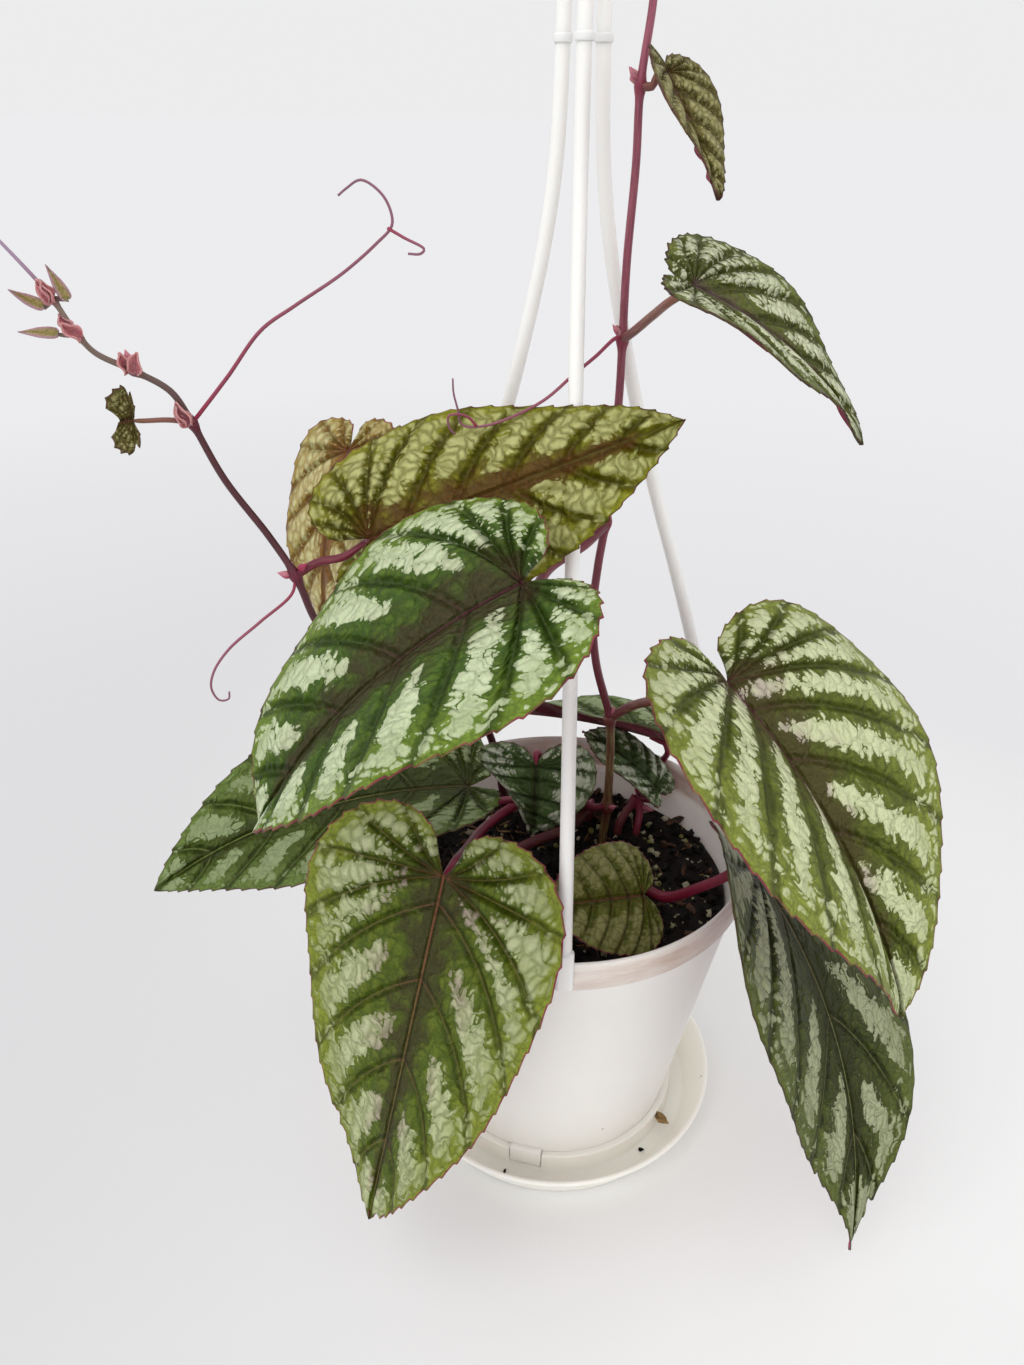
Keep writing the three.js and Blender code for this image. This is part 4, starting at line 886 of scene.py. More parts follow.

    # Colours: deep green inside, brighter to the margin, dark along the midrib, deeper beside the veins with
    # painted shade
    waver = add(tree, "MapRange", [coarse, 0.3, 0.7, -0.13, 0.13])
    out_here = add(tree, "Math", [out, waver], operation="ADD")
    by_tip = add(tree, "MapRange", [edge, 1.0, 13.0, 0.8, 0.0], **smoothly)
    past_base = add(tree, "MapRange", [along, 25.0, 50.0, 0.0, 1.0], **smoothly)
    by_tip = add(tree, "Math", [by_tip, past_base], operation="MULTIPLY")
    out_here = add(tree, "Math", [out_here, by_tip], operation="MAXIMUM")
    to_vein = add(tree, "Math", [span, 0.5], operation="MULTIPLY")
    to_vein = add(tree, "Math", [to_vein, from_middle], operation="SUBTRACT")
    to_vein = add(tree, "Math", [to_vein, 0.0], operation="MAXIMUM")
    leafy = layered(green, [
        (out_here, 0.55, 1.05, 0.0, 1.0, bright),
        # A painted highlight: the puffed crowns of the cells are lighter
        (from_crown, 0.1, 0.6, puff_highlight, 0.0, bright),
        # Darker beside the sunken side veins: the leaf's own deeper green, with painted shade in the grooves
        (to_vein, 0.0, 2.4, groove_shade, 0.0, deep),
        (out_here, dark_to * 0.2, dark_to, 0.9, 0.0, centre),
        # Darker along the net: the veinlets' own colour, with painted shade in the sunken net
        (web, 0.0, 0.12, 0.3, 0.0, deep),
    ])
    mottle = add(tree, "MapRange", [fine, 0.3, 0.7, 0.72, 1.3])
    leafy = add(tree, "Mix", {0: 1.0, 6: leafy, 7: mottle}, 2, data_type="RGBA", blend_type="MULTIPLY")
    pale = layered(silver, [
        (fine, 0.4, 0.75, 0.0, 0.3, bright),
        (out_here, inner + 0.02, inner + blush_to, rosy, 0.0, blush),
        (out_here, 0.62, 0.95, 0.0, sallow, bright),
        (web, 0.0, net_width, net, 0.0, green),
        (little_web, 0.0, 0.1, net * 0.18, 0.0, green),
    ])

    # Veins: hair-thin side veins, a midrib that goes from crimson to pale green, and the crimson margin
    from_row = add(tree, "Math", [vein], operation="FRACT")
    from_row = add(tree, "Math", [from_row, 0.5], operation="SUBTRACT")
    from_row = add(tree, "Math", [from_row], operation="ABSOLUTE")
    side_vein = add(tree, "Math", [0.5, from_row], operation="SUBTRACT")
    side_vein = add(tree, "Math", [side_vein, span], operation="MULTIPLY")
    vein_line = add(tree, "MapRange", [side_vein, 0.1, 0.34, 0.55, 0.0], **smoothly)
    weaker = add(tree, "MapRange", [out, 0.6, 0.97, 1.0, 0.2], **smoothly)
    vein_line = add(tree, "Math", [vein_line, weaker], operation="MULTIPLY")
    vein_colour = layered(rib[0], [(out, 0.0, 0.35, 0.0, 1.0, rib[1])])
    rib_width = add(tree, "MapRange", [along, 0.0, 90.0, 0.34, 0.14])
    rib_side = add(tree, "Math", [rib_width, 1.7], operation="MULTIPLY")
    rib_line = add(tree, "MapRange", [aside, rib_width, rib_side, 0.9, 0.0])
    rib_colour = layered(rib[0], [(along, 8.0, 75.0, 0.0, 1.0, rib[1])])
    rim = add(tree, "MapRange", [edge, 0.2, 0.6, 1.0, 0.0], **smoothly)
    patchy = add(tree, "MapRange", [coarse, 0.35, 0.6, 0.45, 0.95], **smoothly)
    rim = add(tree, "Math", [rim, patchy], operation="MULTIPLY")
    skin = leafy
    for share, colour in ((silvered, pale), (vein_line, vein_colour), (rib_line, rib_colour), (rim, margin)):
        skin = add(tree, "Mix", {0: share, 6: skin, 7: colour}, 2, data_type="RGBA")
    tree.links.new(skin, shader.inputs["Base Color"])

    # Relief: the net and the side veins are sunk, the cells between them puffed
    relief = add(tree, "MapRange", [from_crown, 0.0, 0.8, 1.0, 0.0], **smoothly)
    beside_vein = add(tree, "MapRange", [side_vein, 0.0, 2.2, 0.0, 1.6], **smoothly)
    beside_rib = add(tree, "MapRange", [aside, 0.0, 1.6, 0.0, 1.8], **smoothly)
    grain = add(tree, "Math", [fine, 0.3], operation="MULTIPLY")
    for more in (beside_vein, beside_rib, grain):
        relief = add(tree, "Math", [relief, more], operation="ADD")
    bump = add(tree, "Bump", {"Strength": 0.95, "Distance": 0.001, "Height": relief})
    tree.links.new(bump, shader.inputs["Normal"])
    roughness = add(tree, "MapRange", [fine, 0.3, 0.7, 0.38, 0.5])
    tree.links.new(roughness, shader.inputs["Roughness"])
    return made


def under_skin(name, tissue, web, rib):
    """Under skin: matt, purple over green, with the net of veins standing out of it."""
    made, tree, shader = surface(name, Roughness=0.55, IOR=1.45)
    shader.inputs["Specular IOR Level"].default_value = 0.3
    keys = ("run", "span", "vein", "v")
    run, span, vein, aside = (add(tree, "Attribute", out=2, attribute_name=key) for key in keys)
    across = add(tree, "Math", [vein], operation="FRACT")
    off_middle = add(tree, "Math", [across, 0.5], operation="SUBTRACT")
    from_middle = add(tree, "Math", [off_middle], operation="ABSOLUTE")
    to_vein = add(tree, "Math", [0.5, from_middle], operation="SUBTRACT")
    to_vein = add(tree, "Math", [to_vein, span], operation="MULTIPLY")
    net_across = add(tree, "Math", [off_middle, span], operation="MULTIPLY")
    net_at = add(tree, "CombineXYZ", [run, net_across, 0.0])
    net = add(tree, "TexVoronoi", {"Vector": net_at, "Scale": 0.3}, 0, feature="DISTANCE_TO_EDGE")
    flat = add(tree, "UVMap", uv_map="flat")
    fine = add(tree, "TexNoise", {"Vector": flat, "Scale": 200.0, "Detail": 3.0})
    net_line = add(tree, "MapRange", [net, 0.0, 0.1, 0.6, 0.0])
    skin = add(tree, "Mix", {0: fine, 6: tissue, 7: web}, 2, data_type="RGBA")
    skin = add(tree, "Mix", {0: net_line, 6: skin, 7: rib}, 2, data_type="RGBA")
    vein_line = add(tree, "MapRange", [to_vein, 0.25, 0.6, 0.9, 0.0])
    skin = add(tree, "Mix", {0: vein_line, 6: skin, 7: rib}, 2, data_type="RGBA")
    rib_line = add(tree, "MapRange", [aside, 0.6, 1.1, 1.0, 0.0])
    skin = add(tree, "Mix", {0: rib_line, 6: skin, 7: rib}, 2, data_type="RGBA")
    tree.links.new(skin, shader.inputs["Base Color"])
    relief = add(tree, "Math", [vein_line, rib_line], operation="MAXIMUM")
    relief = add(tree, "Math", [relief, net_line], operation="ADD")
    bump = add(tree, "Bump", {"Strength": 0.7, "Distance": 0.0005, "Height": relief})
    tree.links.new(bump, shader.inputs["Normal"])
    return made


# One upper skin for each colour of leaf: clear green in the light, dull in the shade, olive where light comes
# through, and brown on the ageing blade and the youngest ones
vivid = leaf_skin("leaf_skin_vivid", "#25380a", "#3b5412", "#6d842a", "#3a301a", "#c9d3ad", "#9a917c",
                  cell=4.0, patch=0.52, widest=4.0, ragged=1.5, loose_share=1.0, rosy=0.4, net=0.25,
                  net_width=0.2, rib=("#4c1a2a", "#3c4a1c"))
mellow = leaf_skin("leaf_skin_mellow", "#2e3608", "#4a5a10", "#7e882c", "#3a3618", "#b9bf94", "#9a8280",
                   cell=5.0, patch=0.58, widest=4.8, ragged=1.5, inner=0.14, loose_share=1.1, dark_to=0.32,
                   groove_shade=0.6, sallow=0.5, rosy=0.75, blush_to=0.42, soft=0.2, net=0.42, net_width=0.32,
                   rib=("#7a4a34", "#6c5c30"))
fresh = leaf_skin("leaf_skin_fresh", "#393f0e", "#525c1a", "#808a36", "#463e1e", "#cdd3a8", "#b29a9c",
                  cell=4.4, patch=0.47, widest=3.7, ragged=1.5, inner=-0.05, loose_share=1.0, rosy=0.8,
                  blush_to=0.38, soft=0.14, net=0.25, rib=("#54202c", "#464e20"))
shaded = leaf_skin("leaf_skin_shaded", "#1a2004", "#353c0e", "#5a6428", "#2a2d08", "#a4a986", "#7c7f5d",
                   patch=0.62, widest=4.2, ragged=1.5, inner=0.1, loose_share=0.8, rosy=0.4, net=0.4,
                   rib=("#6b5a3a", "#6c7040"), margin="#4a3a2c")
bluish = leaf_skin("leaf_skin_bluish", "#283208", "#435016", "#627636", "#323a12", "#8b986e", "#7a8858",
                   patch=0.4, inner=0.14, loose_share=0.2, rosy=0.3, net=0.2, rib=("#55452a", "#6f7c3c"),
                   margin="#5d4038")
lit_through = leaf_skin("leaf_skin_lit_through", "#3c3402", "#5c5804", "#85851c", "#52320a", "#bab97c",
                        "#9c985f", cell=4.2, patch=0.62, widest=5.0, ragged=1.0, inner=0.1, outer=0.94,
                        loose_share=1.3, dark_to=0.4, puff_highlight=0.6, soft=0.24, net=0.6, net_width=0.35,
                        glow=0.2, rib=("#5a3014", "#4c4410"), margin="#6a2f34")
ripe = leaf_skin("leaf_skin_ripe", "#6b4412", "#8a6f28", "#988444", "#744a1c", "#c8c08c", "#ab985c",
                 patch=0.85, ragged=0.6, inner=0.08, outer=0.92, loose_share=1.5, dark_to=0.4, soft=0.28,
                 net=0.6, net_width=0.35, glow=0.2, rib=("#6a3226", "#5e4a1c"), margin="#8a4a4a")
sprig = leaf_skin("leaf_skin_sprig", "#3d4012", "#555b1c", "#656d2e", "#564c36", "#cdd1b0", "#a5a682",
                  cell=3.0, patch=0.56, inner=0.1, outer=0.9, dark_to=0.22, rib=("#4a2a38", "#52582c"),
                  margin="#4e3430")
young = leaf_skin("leaf_skin_young", "#4b3f1a", "#665f28", "#7f7944", "#55471f", "#a39d6c", "#8b8052",
                  cell=2.4, patch=0.7, ragged=0.8, inner=0.06, outer=0.9, dark_to=0.25, net=0.6,
                  net_width=0.3, rib=("#4e3020", "#544a24"), margin="#5e3a38")
nursling = leaf_skin("leaf_skin_nursling", "#3f450c", "#5f671f", "#868a4c", "#585a1e", "#92925e",
                     "#8c8a58", cell=4.4, patch=0.9, inner=0.12, dark_to=0.3, groove_shade=0.5, soft=0.3,
                     net=0.6, rib=("#6a4030", "#5e622a"), margin="#8a3a50")
gloomy = leaf_skin("leaf_skin_gloomy", "#33461c", "#587040", "#8a9674", "#3a4a24", "#c2c7b2", "#9a9e8a",
                   cell=4.2, patch=0.5, loose_share=0.3, rosy=0.3, rib=("#30301a", "#56633e"),
                   margin="#5a3034")


def petal_skin(name, inner, streak, rim):
    """Thin scales like petals: light comes through them, and they are streaked and paler at the rim."""
    made, tree, shader = surface(name, Roughness=0.45, IOR=1.4)
    shader.inputs["Subsurface Weight"].default_value = 0.4
    shader.inputs["Subsurface Radius"].default_value = (1.0, 0.5, 0.5)
    shader.inputs["Subsurface Scale"].default_value = 0.002
    out = add(tree, "Attribute", out=2, attribute_name="out")
    flat = add(tree, "UVMap", uv_map="flat")
    fine = add(tree, "TexNoise", {"Vector": flat, "Scale": 300.0, "Detail": 3.0})
    fine = add(tree, "MapRange", [fine, 0.35, 0.65, 0.0, 1.0])
    tone = add(tree, "Mix", {0: fine, 6: inner, 7: streak}, 2, data_type="RGBA")
    edge = add(tree, "MapRange", [out, 0.5, 1.0, 0.0, 0.8])
    tone = add(tree, "Mix", {0: edge, 6: tone, 7: rim}, 2, data_type="RGBA")
    tree.links.new(tone, shader.inputs["Base Color"])
    bump = add(tree, "Bump", {"Strength": 0.4, "Distance": 0.0002, "Height": fine})
    tree.links.new(bump, shader.inputs["Normal"])
    return made


# The backs of the blades are wine red, and olive brown on those that light comes through
under = under_skin("leaf_underside", "#6a4040", "#7a3346", "#9a3a56")
under_warm = under_skin("leaf_underside_lit", "#7a6c34", "#7f5c32", "#6d3f26")
scale_leaf = petal_skin("scale_leaf_skin", "#7c7440", "#9a8e58", "#a9819a")
rib_skin, tree, shader = surface("leaf_rib", Roughness=0.5)
place = add(tree, "TexCoord", out=3)
blotch = add(tree, "TexNoise", {"Vector": place, "Scale": 90.0, "Detail": 2.0})
tone = add(tree, "Mix", {0: blotch, 6: "#7d3044", 7: "#7a6a44"}, 2, data_type="RGBA")
tree.links.new(tone, shader.inputs["Base Color"])

LEAF_FINISH = {
    "leaf_middle": (vivid, under, "leaf_green"), "leaf_front": (mellow, under, "leaf_green"),
    "leaf_right": (fresh, under, "leaf_green"), "leaf_right_low": (shaded, under, "leaf_dark"),
    "leaf_left_low": (bluish, under, "leaf_dark"), "leaf_across": (lit_through, under_warm, "leaf_olive"),
    "leaf_behind": (ripe, under_warm, "leaf_olive"), "leaf_back": (bluish, under, "leaf_dark"),
    "leaf_climbing": (sprig, under, "leaf_green"), "leaf_climbing_top": (young, under, "leaf_olive"),
    "leaf_soil": (nursling, under, "leaf_green"), "leaf_crown": (gloomy, under, "leaf_dark"),
    "leaf_crown_young": (gloomy, under, "leaf_dark"), "leaf_lobed_young": (young, under_warm, "leaf_olive"),
}
for name in ("tip_blade_low", "tip_blade_left", "tip_blade_right", "crest_blade"):
    LEAF_FINISH[name] = (scale_leaf, scale_leaf, "leaf_young")
for name, blade in LEAVES.items():
    upper, lower, slot = LEAF_FINISH[name]
    leaf = blade_object(name, blade)
    leaf.data.materials.append(upper)
    leaf.data.materials.append(lower)
    ribs = back_ribs(blade)
    ribs.data.materials.append(rib_skin)
    hold(fused(name, [leaf, ribs]), slot, name)


# The stems are living shoots, ribbed lengthwise, swollen at each joint where a leaf stalk leaves. Young wood
# is crimson, old wood tan with green stripes, and the long vine dark purple. At the joints sit pink scales
# and buds.
def stem(name, points, radii, skin, knots=(), step=1.0, around=14, ribs=0.07, flat=1.0):
    """A ribbed shoot along a smooth path, its radii spaced evenly along it, step being the length of a ring.
    A knot is a spot, how much it adds and how far it reaches."""
    path = smooth_path(points, step)
    share = np.linspace(0, 1, len(path))
    radius = np.interp(share, np.linspace(0, 1, len(radii)), radii)
    knotty = np.zeros(len(path))
    for spot, more, length in knots:
        bulge = np.exp(-((np.linalg.norm(path - np.array(spot, float), axis=1) / length) ** 2))
        radius = radius + more * bulge
        knotty = np.maximum(knotty, bulge)
    along = np.gradient(path, axis=0)
    along /= np.linalg.norm(along, axis=1, keepdims=True)
    first = np.cross(along[0], (0.3, 0.9, 0.2))
    firsts = [first / np.linalg.norm(first)]
    for direction in along[1:]:
        turned = firsts[-1] - direction * np.dot(firsts[-1], direction)
        firsts.append(turned / np.linalg.norm(turned))
    firsts = np.array(firsts)
    seconds = np.cross(along, firsts)
    angles = np.linspace(0, 2 * math.pi, around, endpoint=False)
    ribbed = 1 + ribs * np.cos(angles * around / 2)
    rings = [
        p + r * (np.outer(ribbed * np.cos(angles), a) + flat * np.outer(ribbed * np.sin(angles), b))
        for p, r, a, b in zip(path, radius, firsts, seconds)
    ]
    corners = np.concatenate(rings + [path[:1], path[-1:]])
    faces = []
    for i in range(len(path) - 1):
        for j in range(around):
            k = (j + 1) % around
            faces.append((i * around + j, i * around + k, (i + 1) * around + k, (i + 1) * around + j))
    last = (len(path) - 1) * around
    for j in range(around):
        k = (j + 1) % around
        faces.append((len(corners) - 2, k, j))
        faces.append((len(corners) - 1, last + j, last + k))
    made = mesh_object(name, corners, faces)
    distance = np.concatenate([[0], np.cumsum(np.linalg.norm(np.diff(path, axis=0), axis=1))])
    tip_too = np.concatenate([np.repeat(distance, around), distance[[0, -1]]])
    turn = np.concatenate([np.tile(angles, len(path)), [0, 0]])
    paint(made, "bark", "FLOAT_VECTOR", "POINT", np.column_stack([np.cos(turn), np.sin(turn), tip_too]))
    for key, values in (("knot", knotty), ("share", share)):
        paint(made, key, "FLOAT", "POINT", np.concatenate([np.repeat(values, around), values[[0, -1]]]))
    made.data.materials.append(skin)
    pick(made)
    bpy.ops.object.shade_smooth()
    return made


def bark_skin(name, low, high, stripe, knot, striped, rough=0.5, clear=0.0):
    """Stem skin: streaks of a second colour lengthwise, redder at the joints, with a dull gloss."""
    made, tree, shader = surface(name, Roughness=rough, IOR=1.45)
    if clear:
        shader.inputs["Subsurface Weight"].default_value = clear
        shader.inputs["Subsurface Radius"].default_value = (1.0, 0.4, 0.4)
        shader.inputs["Subsurface Scale"].default_value = 0.0015
    bark = add(tree, "Attribute", out=1, attribute_name="bark")
    stretched = add(tree, "VectorMath", {0: bark, 1: (2.0, 2.0, 0.11)}, operation="MULTIPLY")
    streak = add(tree, "TexNoise", {"Vector": stretched, "Scale": 1.2, "Detail": 3.0, "Roughness": 0.6})
    share = add(tree, "Attribute", out=2, attribute_name="share")
    swell = add(tree, "Attribute", out=2, attribute_name="knot")
    colour = add(tree, "Mix", {0: share, 6: low, 7: high}, 2, data_type="RGBA")
    line = add(tree, "MapRange", [streak, 0.46, 0.62, 0.0, striped])
    colour = add(tree, "Mix", {0: line, 6: colour, 7: stripe}, 2, data_type="RGBA")
    swollen = add(tree, "Math", [swell, 0.75], operation="MULTIPLY")
    colour = add(tree, "Mix", {0: swollen, 6: colour, 7: knot}, 2, data_type="RGBA")
    tree.links.new(colour, shader.inputs["Base Color"])
    bump = add(tree, "Bump", {"Strength": 0.5, "Distance": 0.0003, "Height": streak})
    tree.links.new(bump, shader.inputs["Normal"])
    return made


# Living bark, smooth and a little glossy, striped lengthwise: crimson on young stems, tan on old wood, purple
# on the long vine, and pink on the buds, which let some light through
tall_wood = bark_skin("stem_tall_young", "#6b2e37", "#a65c6e", "#5f2430", "#7e1d38", 0.55)
old_wood = bark_skin("stem_tall_old", "#5d4226", "#6e4a38", "#85794a", "#6a1c2c", 0.8)
long_wood = bark_skin("stem_long", "#5e2a30", "#552a30", "#33161c", "#6e1a34", 0.6)
long_tip_wood = bark_skin("stem_long_tip", "#4f2e32", "#8b7a6c", "#5e4a42", "#8a4a52", 0.5)
stalk_red = bark_skin("leaf_stalk_red", "#56121f", "#86253f", "#a04858", "#80183a", 0.35, 0.4)
stalk_tan = bark_skin("leaf_stalk_tan", "#6a3038", "#8a5a4a", "#8f7052", "#74202e", 0.6)
stalk_crimson = bark_skin("leaf_stalk_crimson", "#6e1226", "#7a1d36", "#8e3048", "#5a0c1e", 0.35, 0.4)
shoot_wood = bark_skin("shoot_stem", "#4a2220", "#7a2436", "#6a4c38", "#7e1a36", 0.5)
tendril_skin = bark_skin("tendril", "#962a48", "#8d6474", "#7a4050", "#8a1f3c", 0.4, 0.45)
bud_skin = bark_skin("bud_scales", "#a33a5a", "#c27c8c", "#c79a94", "#8a1f3c", 0.5, 0.45, 0.3)
red_bud = bark_skin("red_bud", "#8a1f3c", "#a03050", "#b0607a", "#8a1f3c", 0.4, 0.4, 0.2)
tip_thread = bark_skin("tip_thread", "#8f6a78", "#bdb0cc", "#a88aa8", "#8a4a60", 0.4, 0.5)

stipule_skin = petal_skin("stipule_skin", "#a85f70", "#b37a76", "#c08c8a")


def stipule(base, heading, dip, length, width, roll=0):
    """A thin pink scale like a petal, cupped over the joint that it grew from."""
    blade = dict(base=base, heading=heading, dip=dip, roll=roll, length=length, width=width, fold=28,
                 curl=-50, arch=-55, lobe=0.5, full=0.7, rows=27, columns=6, teeth=3, tooth=0, wave=0.4,
                 waves=2, quilt=0)
    made = blade_object("stipule", blade)
    made.data.materials.append(stipule_skin)
    made.data.materials.append(stipule_skin)
    return made


def bud(base, direction, length, radius, skin=bud_skin, flat=0.8):
    """A pointed scale or bud that stands out of a joint."""
    base, direction = Vector(base), Vector(direction).normalized()
    points = [base, base + direction * length * 0.5, base + direction * length]
    shape = (radius * 0.6, radius, radius * 0.85, radius * 0.45, 0.05)
    return stem("bud", points, shape, skin, step=0.4, around=10, ribs=0.03, flat=flat)


def tendril(points, radii, step, skin=tendril_skin):
    """A thin smooth thread that feels for a hold."""
    return stem("tendril", points, radii, skin, step=step, around=8, ribs=0)


def stalk(points, radii, leaf, rise, skin):
    """A leaf stalk from a joint to the notch of its blade, where it goes on as the midrib."""
    blade = LEAVES[leaf]
    along, _, face = blade_frame(blade["heading"], blade["dip"], blade.get("roll", 0))
    base = Vector(blade["base"])
    under = radii[1] * 0.8
    before = base - face * under - (along * 0.55 + face * 0.84) * rise
    midrib = np.array([0.0, 0.025, 0.08]) * blade["length"]
    ends = [before, *bend(midrib, 0 * midrib, -BLADE_THICK / 2 - np.array([1.0, 0.9, 0.6]) * radii[1], blade)]
    sizes = [radii[0] + (radii[1] - radii[0]) * k / 7 for k in range(8)] + [radii[1] * 0.5]
    return stem("stalk", list(points) + ends, sizes, skin, step=1.2, around=12, ribs=0.05)


def rooted(x, y):
    """The start of a stem: upright from the bottom of its hole in the soil to just over the soil."""
    return [(x, y, STEM_HOLE_BOTTOM + 1), (x, y, SOIL_TOP + 3)]


def joint(spot, radius, own, length=2.4):
    """The knot at a joint: its full radius, the stem's own radius there, and how far it reaches."""
    return (spot, max(0.2, radius - own), length)


# The tall vine stands upright, tan below and crimson above, and carries six blades and a forked tendril
crown, right, middle = (17.5, 22.5, 127), (17.5, 20, 169), (12, 8, 250)
climbing, top_joint, crest = (14, 0, 310), (15, -8, 375), (17, -12, 412)
tall_route = rooted(17, 23) + [
    (18, 22, 126), (18, 21, 158), (17, 19, 171), (11, 16, 194), (9, 13, 216), (10, 10, 234), (12, 8, 252),
    (14, 4, 292), (14, 0, 310), (14, -3, 332), (15, -6, 357), (15, -8, 375), (17, -10, 394), (17, -12, 411),
    (14, -13, 427), (10, -14, 436),
]
tall_knots = [joint(right, 2.5, 1.5, 3), joint(middle, 2.1, 1.3), joint(climbing, 1.9, 1.1),
              joint(top_joint, 1.6, 1.0, 2), joint(crest, 1.4, 0.9, 2)]
vine_tall = [
    stem("tall_low", tall_route[:5], (1.65, 1.49), old_wood, [joint(crown, 2.8, 1.6, 3), tall_knots[0]]),
    stem("tall_up", tall_route[4:], (1.49, 0.9), tall_wood, tall_knots),
    bud((19, 20, 128), (0.8, -0.3, 0.5), 3.4, 1.2),
    bud((18, 18.5, 171), (0.1, -0.2, 1), 4.5, 1.4),
    bud((13.1, -0.9, 311.6), (-0.6, -0.3, 0.8), 4, 1.1),
    bud((14, -8.5, 376), (-0.6, -0.2, 0.9), 4.2, 0.9),
    bud((10, -14, 436), (-0.5, -0.2, 1), 5, 1.1),
    stipule((16.2, 19, 170), 230, -50, 4.5, 1.8),
    stipule((12.8, -1, 310), 215, -55, 4.5, 1.6),
    stipule((13.8, -8.6, 375.5), 225, -50, 4.2, 1.5, roll=30),
    stalk([crown, (12, 17, 130), (5, 6, 144), (-2, -8, 158)], (1.5, 1.2), "leaf_crown", 5, stalk_red),
    stalk([right, (23, 14, 177), (29, 3, 186), (37, -13, 196)], (1.8, 1.6), "leaf_right", 5, stalk_tan),
    stalk([middle, (5, -4, 247), (-6, -20, 245), (-11, -42, 243)], (1.6, 1.4), "leaf_middle", 5,
          stalk_red),
    stalk([climbing, (17, -8, 314), (21, -19, 320)], (1.3, 1.1), "leaf_climbing", 5, stalk_tan),
    stalk([top_joint, (18, -10, 375)], (1.1, 0.9), "leaf_climbing_top", 2, stalk_tan),
    stalk([crest, (16, -15, 416)], (0.8, 0.6), "crest_blade", 1, stalk_red),
    tendril([climbing, (12, -3, 311), (6, -10, 307), (0, -15, 303), (-8, -20, 297), (-17, -24, 293),
             (-25, -27, 291), (-31, -28, 291.5), (-32, -29, 296), (-33, -30, 301), (-33, -31, 305)],
            (0.6, 0.5, 0.4, 0.25), 1.0),
    tendril([(-27, -27.5, 291), (-29, -28, 293.5), (-32, -30, 295), (-34.5, -30.5, 294.5),
             (-34.5, -30, 291.5), (-33, -29, 289)],
            (0.42, 0.3), 0.6),
]
hold(fused("vine_tall", vine_tall), "stem_crimson", "vine_tall")

# The long vine leans out to the left, with six blades, two tendrils and a thin thread at its tip
behind, across, young_joint = (-50, 4, 190), (-82, -32, 246), (-104, -40, 294)
upper_joint, tip_joint, last_joint = (-116, -45, 309), (-127, -50, 319), (-130.5, -52.3, 328)
long_route = rooted(-24, 42) + [
    (-26, 41, 130), (-30, 36, 152), (-38, 24, 172), (-50, 4, 190), (-64, -18, 208), (-74, -28, 222),
    (-78, -30, 231), (-82, -32, 246), (-88, -34, 259), (-98, -37, 277), (-104, -40, 294), (-108, -42, 303),
    (-116, -45, 309), (-124, -48, 314), (-127, -50, 319), (-130.5, -52.3, 328),
]
thread_route = [(-130.5, -52.3, 328), (-133, -53, 332), (-140, -55, 342), (-147, -58, 352), (-153, -60, 358)]
long_knots = [joint(behind, 2, 1.3), joint(across, 2, 1.15), joint(young_joint, 1.7, 1.0, 2),
              joint(upper_joint, 1.5, 0.9, 1.8), joint(tip_joint, 1.3, 0.8, 1.6),
              joint(last_joint, 1.1, 0.65, 1.4)]
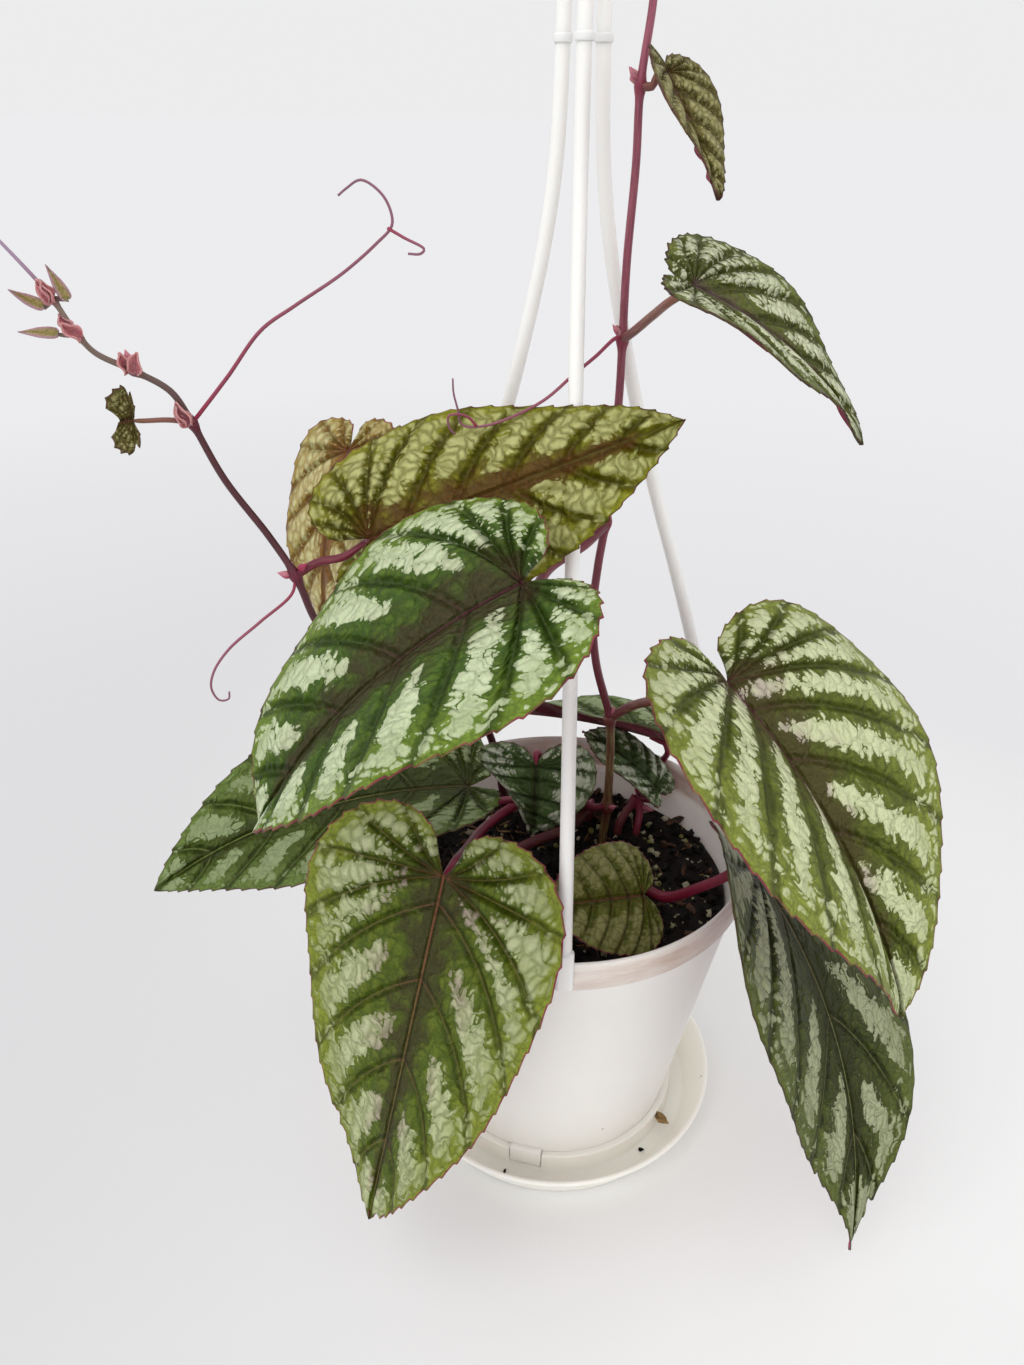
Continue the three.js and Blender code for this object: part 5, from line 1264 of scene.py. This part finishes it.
vine_long = [
    stem("long", long_route[:13], (1.6, 0.93), long_wood, long_knots),
    stem("long_tip", long_route[12:], (0.93, 0.65), long_tip_wood, long_knots, step=0.8),
    tendril(thread_route, (0.55, 0.4, 0.3), 0.8, tip_thread),
    bud((-80.5, -32.5, 248), (0.6, -0.3, 0.6), 4.2, 1.3, red_bud),
    bud((-83.5, -32.5, 246), (-1, -0.1, 0.3), 4, 1.4),
    stipule((-104, -41.5, 294), 150, -66, 7.5, 3.2, roll=-70),
    stipule((-105, -41.5, 294), 190, -48, 6.5, 2.6, roll=-40),
    bud((-105, -41, 295), (-0.7, -0.5, 0.7), 4, 1.1, flat=0.6),
    bud((-116.3, -45, 310), (-0.1, -0.3, 1), 5, 1.6),
    stipule((-115, -46, 308.6), 30, -72, 6.5, 3.0, roll=60),
    stipule((-117, -46, 309), 190, -62, 6, 2.8, roll=-60),
    bud((-127.4, -50.6, 319.8), (-0.5, -0.5, 0.7), 4, 1.4),
    stipule((-126, -51.2, 318.4), 200, -30, 6.5, 2.6, roll=-60),
    stipule((-128, -51, 320), 160, -50, 5, 2.2, roll=-50),
    bud((-130.8, -52.8, 328.6), (-0.4, -0.6, 0.7), 4, 1.3),
    stipule((-130, -53.4, 327.5), 150, -62, 6.5, 2.6, roll=-70),
    stipule((-131, -53.2, 328), 200, -55, 5.5, 2.3, roll=-40),
    stalk([behind, (-51, 12, 212), (-55, 22, 242), (-64, 25, 260)], (1.5, 1.2), "leaf_behind", 5,
          stalk_red),
    stalk([across, (-75, -31, 250), (-67, -31, 252)], (1.3, 1.2), "leaf_across", 5, stalk_red),
    stalk([young_joint, (-109, -43, 295.5)], (0.75, 0.65), "leaf_lobed_young", 3, stalk_tan),
    stalk([tip_joint, (-129, -50.8, 318.9)], (0.7, 0.5), "tip_blade_low", 1, long_tip_wood),
    stalk([last_joint, (-131.5, -53.2, 327)], (0.7, 0.5), "tip_blade_left", 0.6, long_tip_wood),
    stalk([last_joint, (-128.5, -52.2, 328)], (0.7, 0.5), "tip_blade_right", 0.6, long_tip_wood),
    tendril([across, (-83, -34, 241), (-92, -40, 234), (-101, -45, 227), (-106, -47, 220), (-107, -48, 215),
             (-105, -48, 211), (-102.5, -47, 211), (-102, -47, 213.5)],
            (0.5, 0.45, 0.3), 0.8),
    tendril([young_joint, (-92, -42, 307), (-81, -44, 319.5), (-71, -46, 326), (-58, -47, 334),
             (-49, -48, 341), (-45, -48, 345), (-45, -48, 348), (-47, -48, 352), (-52, -47, 355),
             (-56, -46, 353), (-58, -46, 351.5)],
            (0.6, 0.5, 0.4, 0.3), 0.8),
    tendril([(-46, -48, 344.5), (-42, -49, 342.5), (-37, -50, 340), (-38, -50, 339), (-41, -50, 339)],
            (0.42, 0.3), 0.6),
]
hold(fused("vine_long", vine_long), "stem_purple", "vine_long")

# The crown shoot is a short thick stem with two leaves, and a runner from it roots again in the soil
head = (11, 39, 114)
crown_shoot = [
    stem("shoot", rooted(11, 39) + [head], (2.1, 2.1), shoot_wood, [joint(head, 2.8, 2.1, 3)], ribs=0.06),
    stem("runner",
         [head, (5, 27, 114), (0, 18, 117), (-10, 10, 118), (-21, 0, 118), (-30, -9, 116),
          (-35, -15, 110), (-35, -15, STEM_HOLE_BOTTOM + 1)],
         (2, 1.9), shoot_wood, [joint(head, 2.8, 2.1, 3)], ribs=0.06),
    bud((12, 38, 116), (0.2, -0.3, 1), 5, 1.6),
    stalk([head, (-2, 33, 121), (-16, 25, 125), (-28, 3, 130), (-33, -20, 137)], (2, 1.6), "leaf_front",
          5, stalk_crimson),
    stalk([head, (3, 26, 126), (-9, 12, 137)], (1.7, 1.4), "leaf_left_low", 5, stalk_red),
]
hold(fused("crown_shoot", crown_shoot), "stem_crimson", "crown_shoot")

# The side shoot is two stems from the soil that meet at one joint, with two leaves
head = (31, 36, 122)
side_shoot = [
    stem("shoot", rooted(24, 32) + [(27, 34, 117), head], (1.7, 1.6), shoot_wood,
         [joint(head, 2.8, 1.7)], ribs=0.06),
    stem("shoot", rooted(31, 30) + [(32, 33, 117), head], (1.5, 1.5), stalk_red,
         [joint(head, 2.8, 1.7)], ribs=0.06),
    bud((33, 34, 119), (0.7, -0.5, 0.1), 5.5, 2, flat=0.6),
    bud((31, 37, 124), (0, 0.2, 1), 4.5, 1.4, red_bud),
    stalk([head, (35, 45, 123), (42, 53, 130)], (1.5, 1.2), "leaf_back", 4, stalk_red),
    stalk([head, (37, 32, 124)], (1.3, 1.0), "leaf_crown_young", 4, stalk_red),
]
hold(fused("side_shoot", side_shoot), "stem_crimson", "side_shoot")

# The front shoot is a short stem near the pot's middle, with two leaves
head = (22, 4, 112)
front_shoot = [
    stem("shoot", rooted(22, 4) + [head], (1.9, 1.9), shoot_wood, [joint(head, 2.6, 1.9)], ribs=0.06),
    stalk([head, (31, -10, 114), (39, -18, 116), (50, -24, 126), (59, -26.5, 134)], (2.1, 1.8),
          "leaf_right_low", 5, stalk_crimson),
    stalk([head, (27, -6, 115)], (1.4, 1.2), "leaf_soil", 5, stalk_red),
]
hold(fused("front_shoot", front_shoot), "stem_crimson", "front_shoot")


# The studio: a pale matt floor, with painted light round the pot that thins the shade cast on it and painted
# shade to the left, that turns to the backdrop's tone far out, where the two meet unseen, under an even white
# sky, with a broad soft light from the upper left and weaker ones from the right and front.
bpy.ops.object.select_all(action="DESELECT")
bpy.ops.mesh.primitive_plane_add(size=60)
floor = bpy.context.active_object
floor.name = "floor"
floor_paper, tree, shader = surface("pale_paper_floor", Roughness=0.9)
shader.inputs["Specular IOR Level"].default_value = 0.0
place = add(tree, "TexCoord", out=3)
distance = add(tree, "VectorMath", [place], 1, operation="LENGTH")
# Painted light: the floor is lighter round the pot, where the plant and pot shade it
painted_light_round_pot = add(tree, "MapRange", [distance, 0.12, 0.42, 0.0, 1.0])
far = add(tree, "MapRange", [distance, 0.5, 1.3, 0.0, 1.0])
tone = add(tree, "Mix", {0: painted_light_round_pot, 6: "#efefee", 7: "#dadadb"}, 2, data_type="RGBA")
sideways = add(tree, "SeparateXYZ", [place], 0)
# Painted shade: the floor is darker on the left
painted_shade_on_left = add(tree, "MapRange", [sideways, -0.24, 0.05, 0.9, 0.0])
tone = add(tree, "Mix", {0: painted_shade_on_left, 6: tone, 7: "#d3d3d4"}, 2, data_type="RGBA")
tone = add(tree, "Mix", {0: far, 6: tone, 7: "#dfdfe0"}, 2, data_type="RGBA")
tree.links.new(tone, shader.inputs["Base Color"])
floor.data.materials.append(floor_paper)

world = bpy.data.worlds.new("studio")
bpy.context.scene.world = world
world.use_nodes = True
world.node_tree.nodes["Background"].inputs["Color"].default_value = linear("#ececed")
world.node_tree.nodes["Background"].inputs["Strength"].default_value = 1.0


def broad_light(name, toward, strength, wide):
    """A far soft light that shines along a direction, wide being the angle of sky that it fills."""
    data = bpy.data.lights.new(name, "SUN")
    data.energy = strength
    data.angle = math.radians(wide)
    lamp = bpy.data.objects.new(name, data)
    lamp.rotation_euler = Vector(toward).to_track_quat("-Z", "Y").to_euler()
    bpy.context.scene.collection.objects.link(lamp)


broad_light("window", (0.45, 0.6, -1.0), 0.85, 45)
broad_light("fill", (-0.8, 0.3, -0.6), 0.25, 70)
broad_light("front", (0.05, 1.0, -0.3), 0.45, 60)
bpy.context.scene.view_settings.view_transform = "Standard"
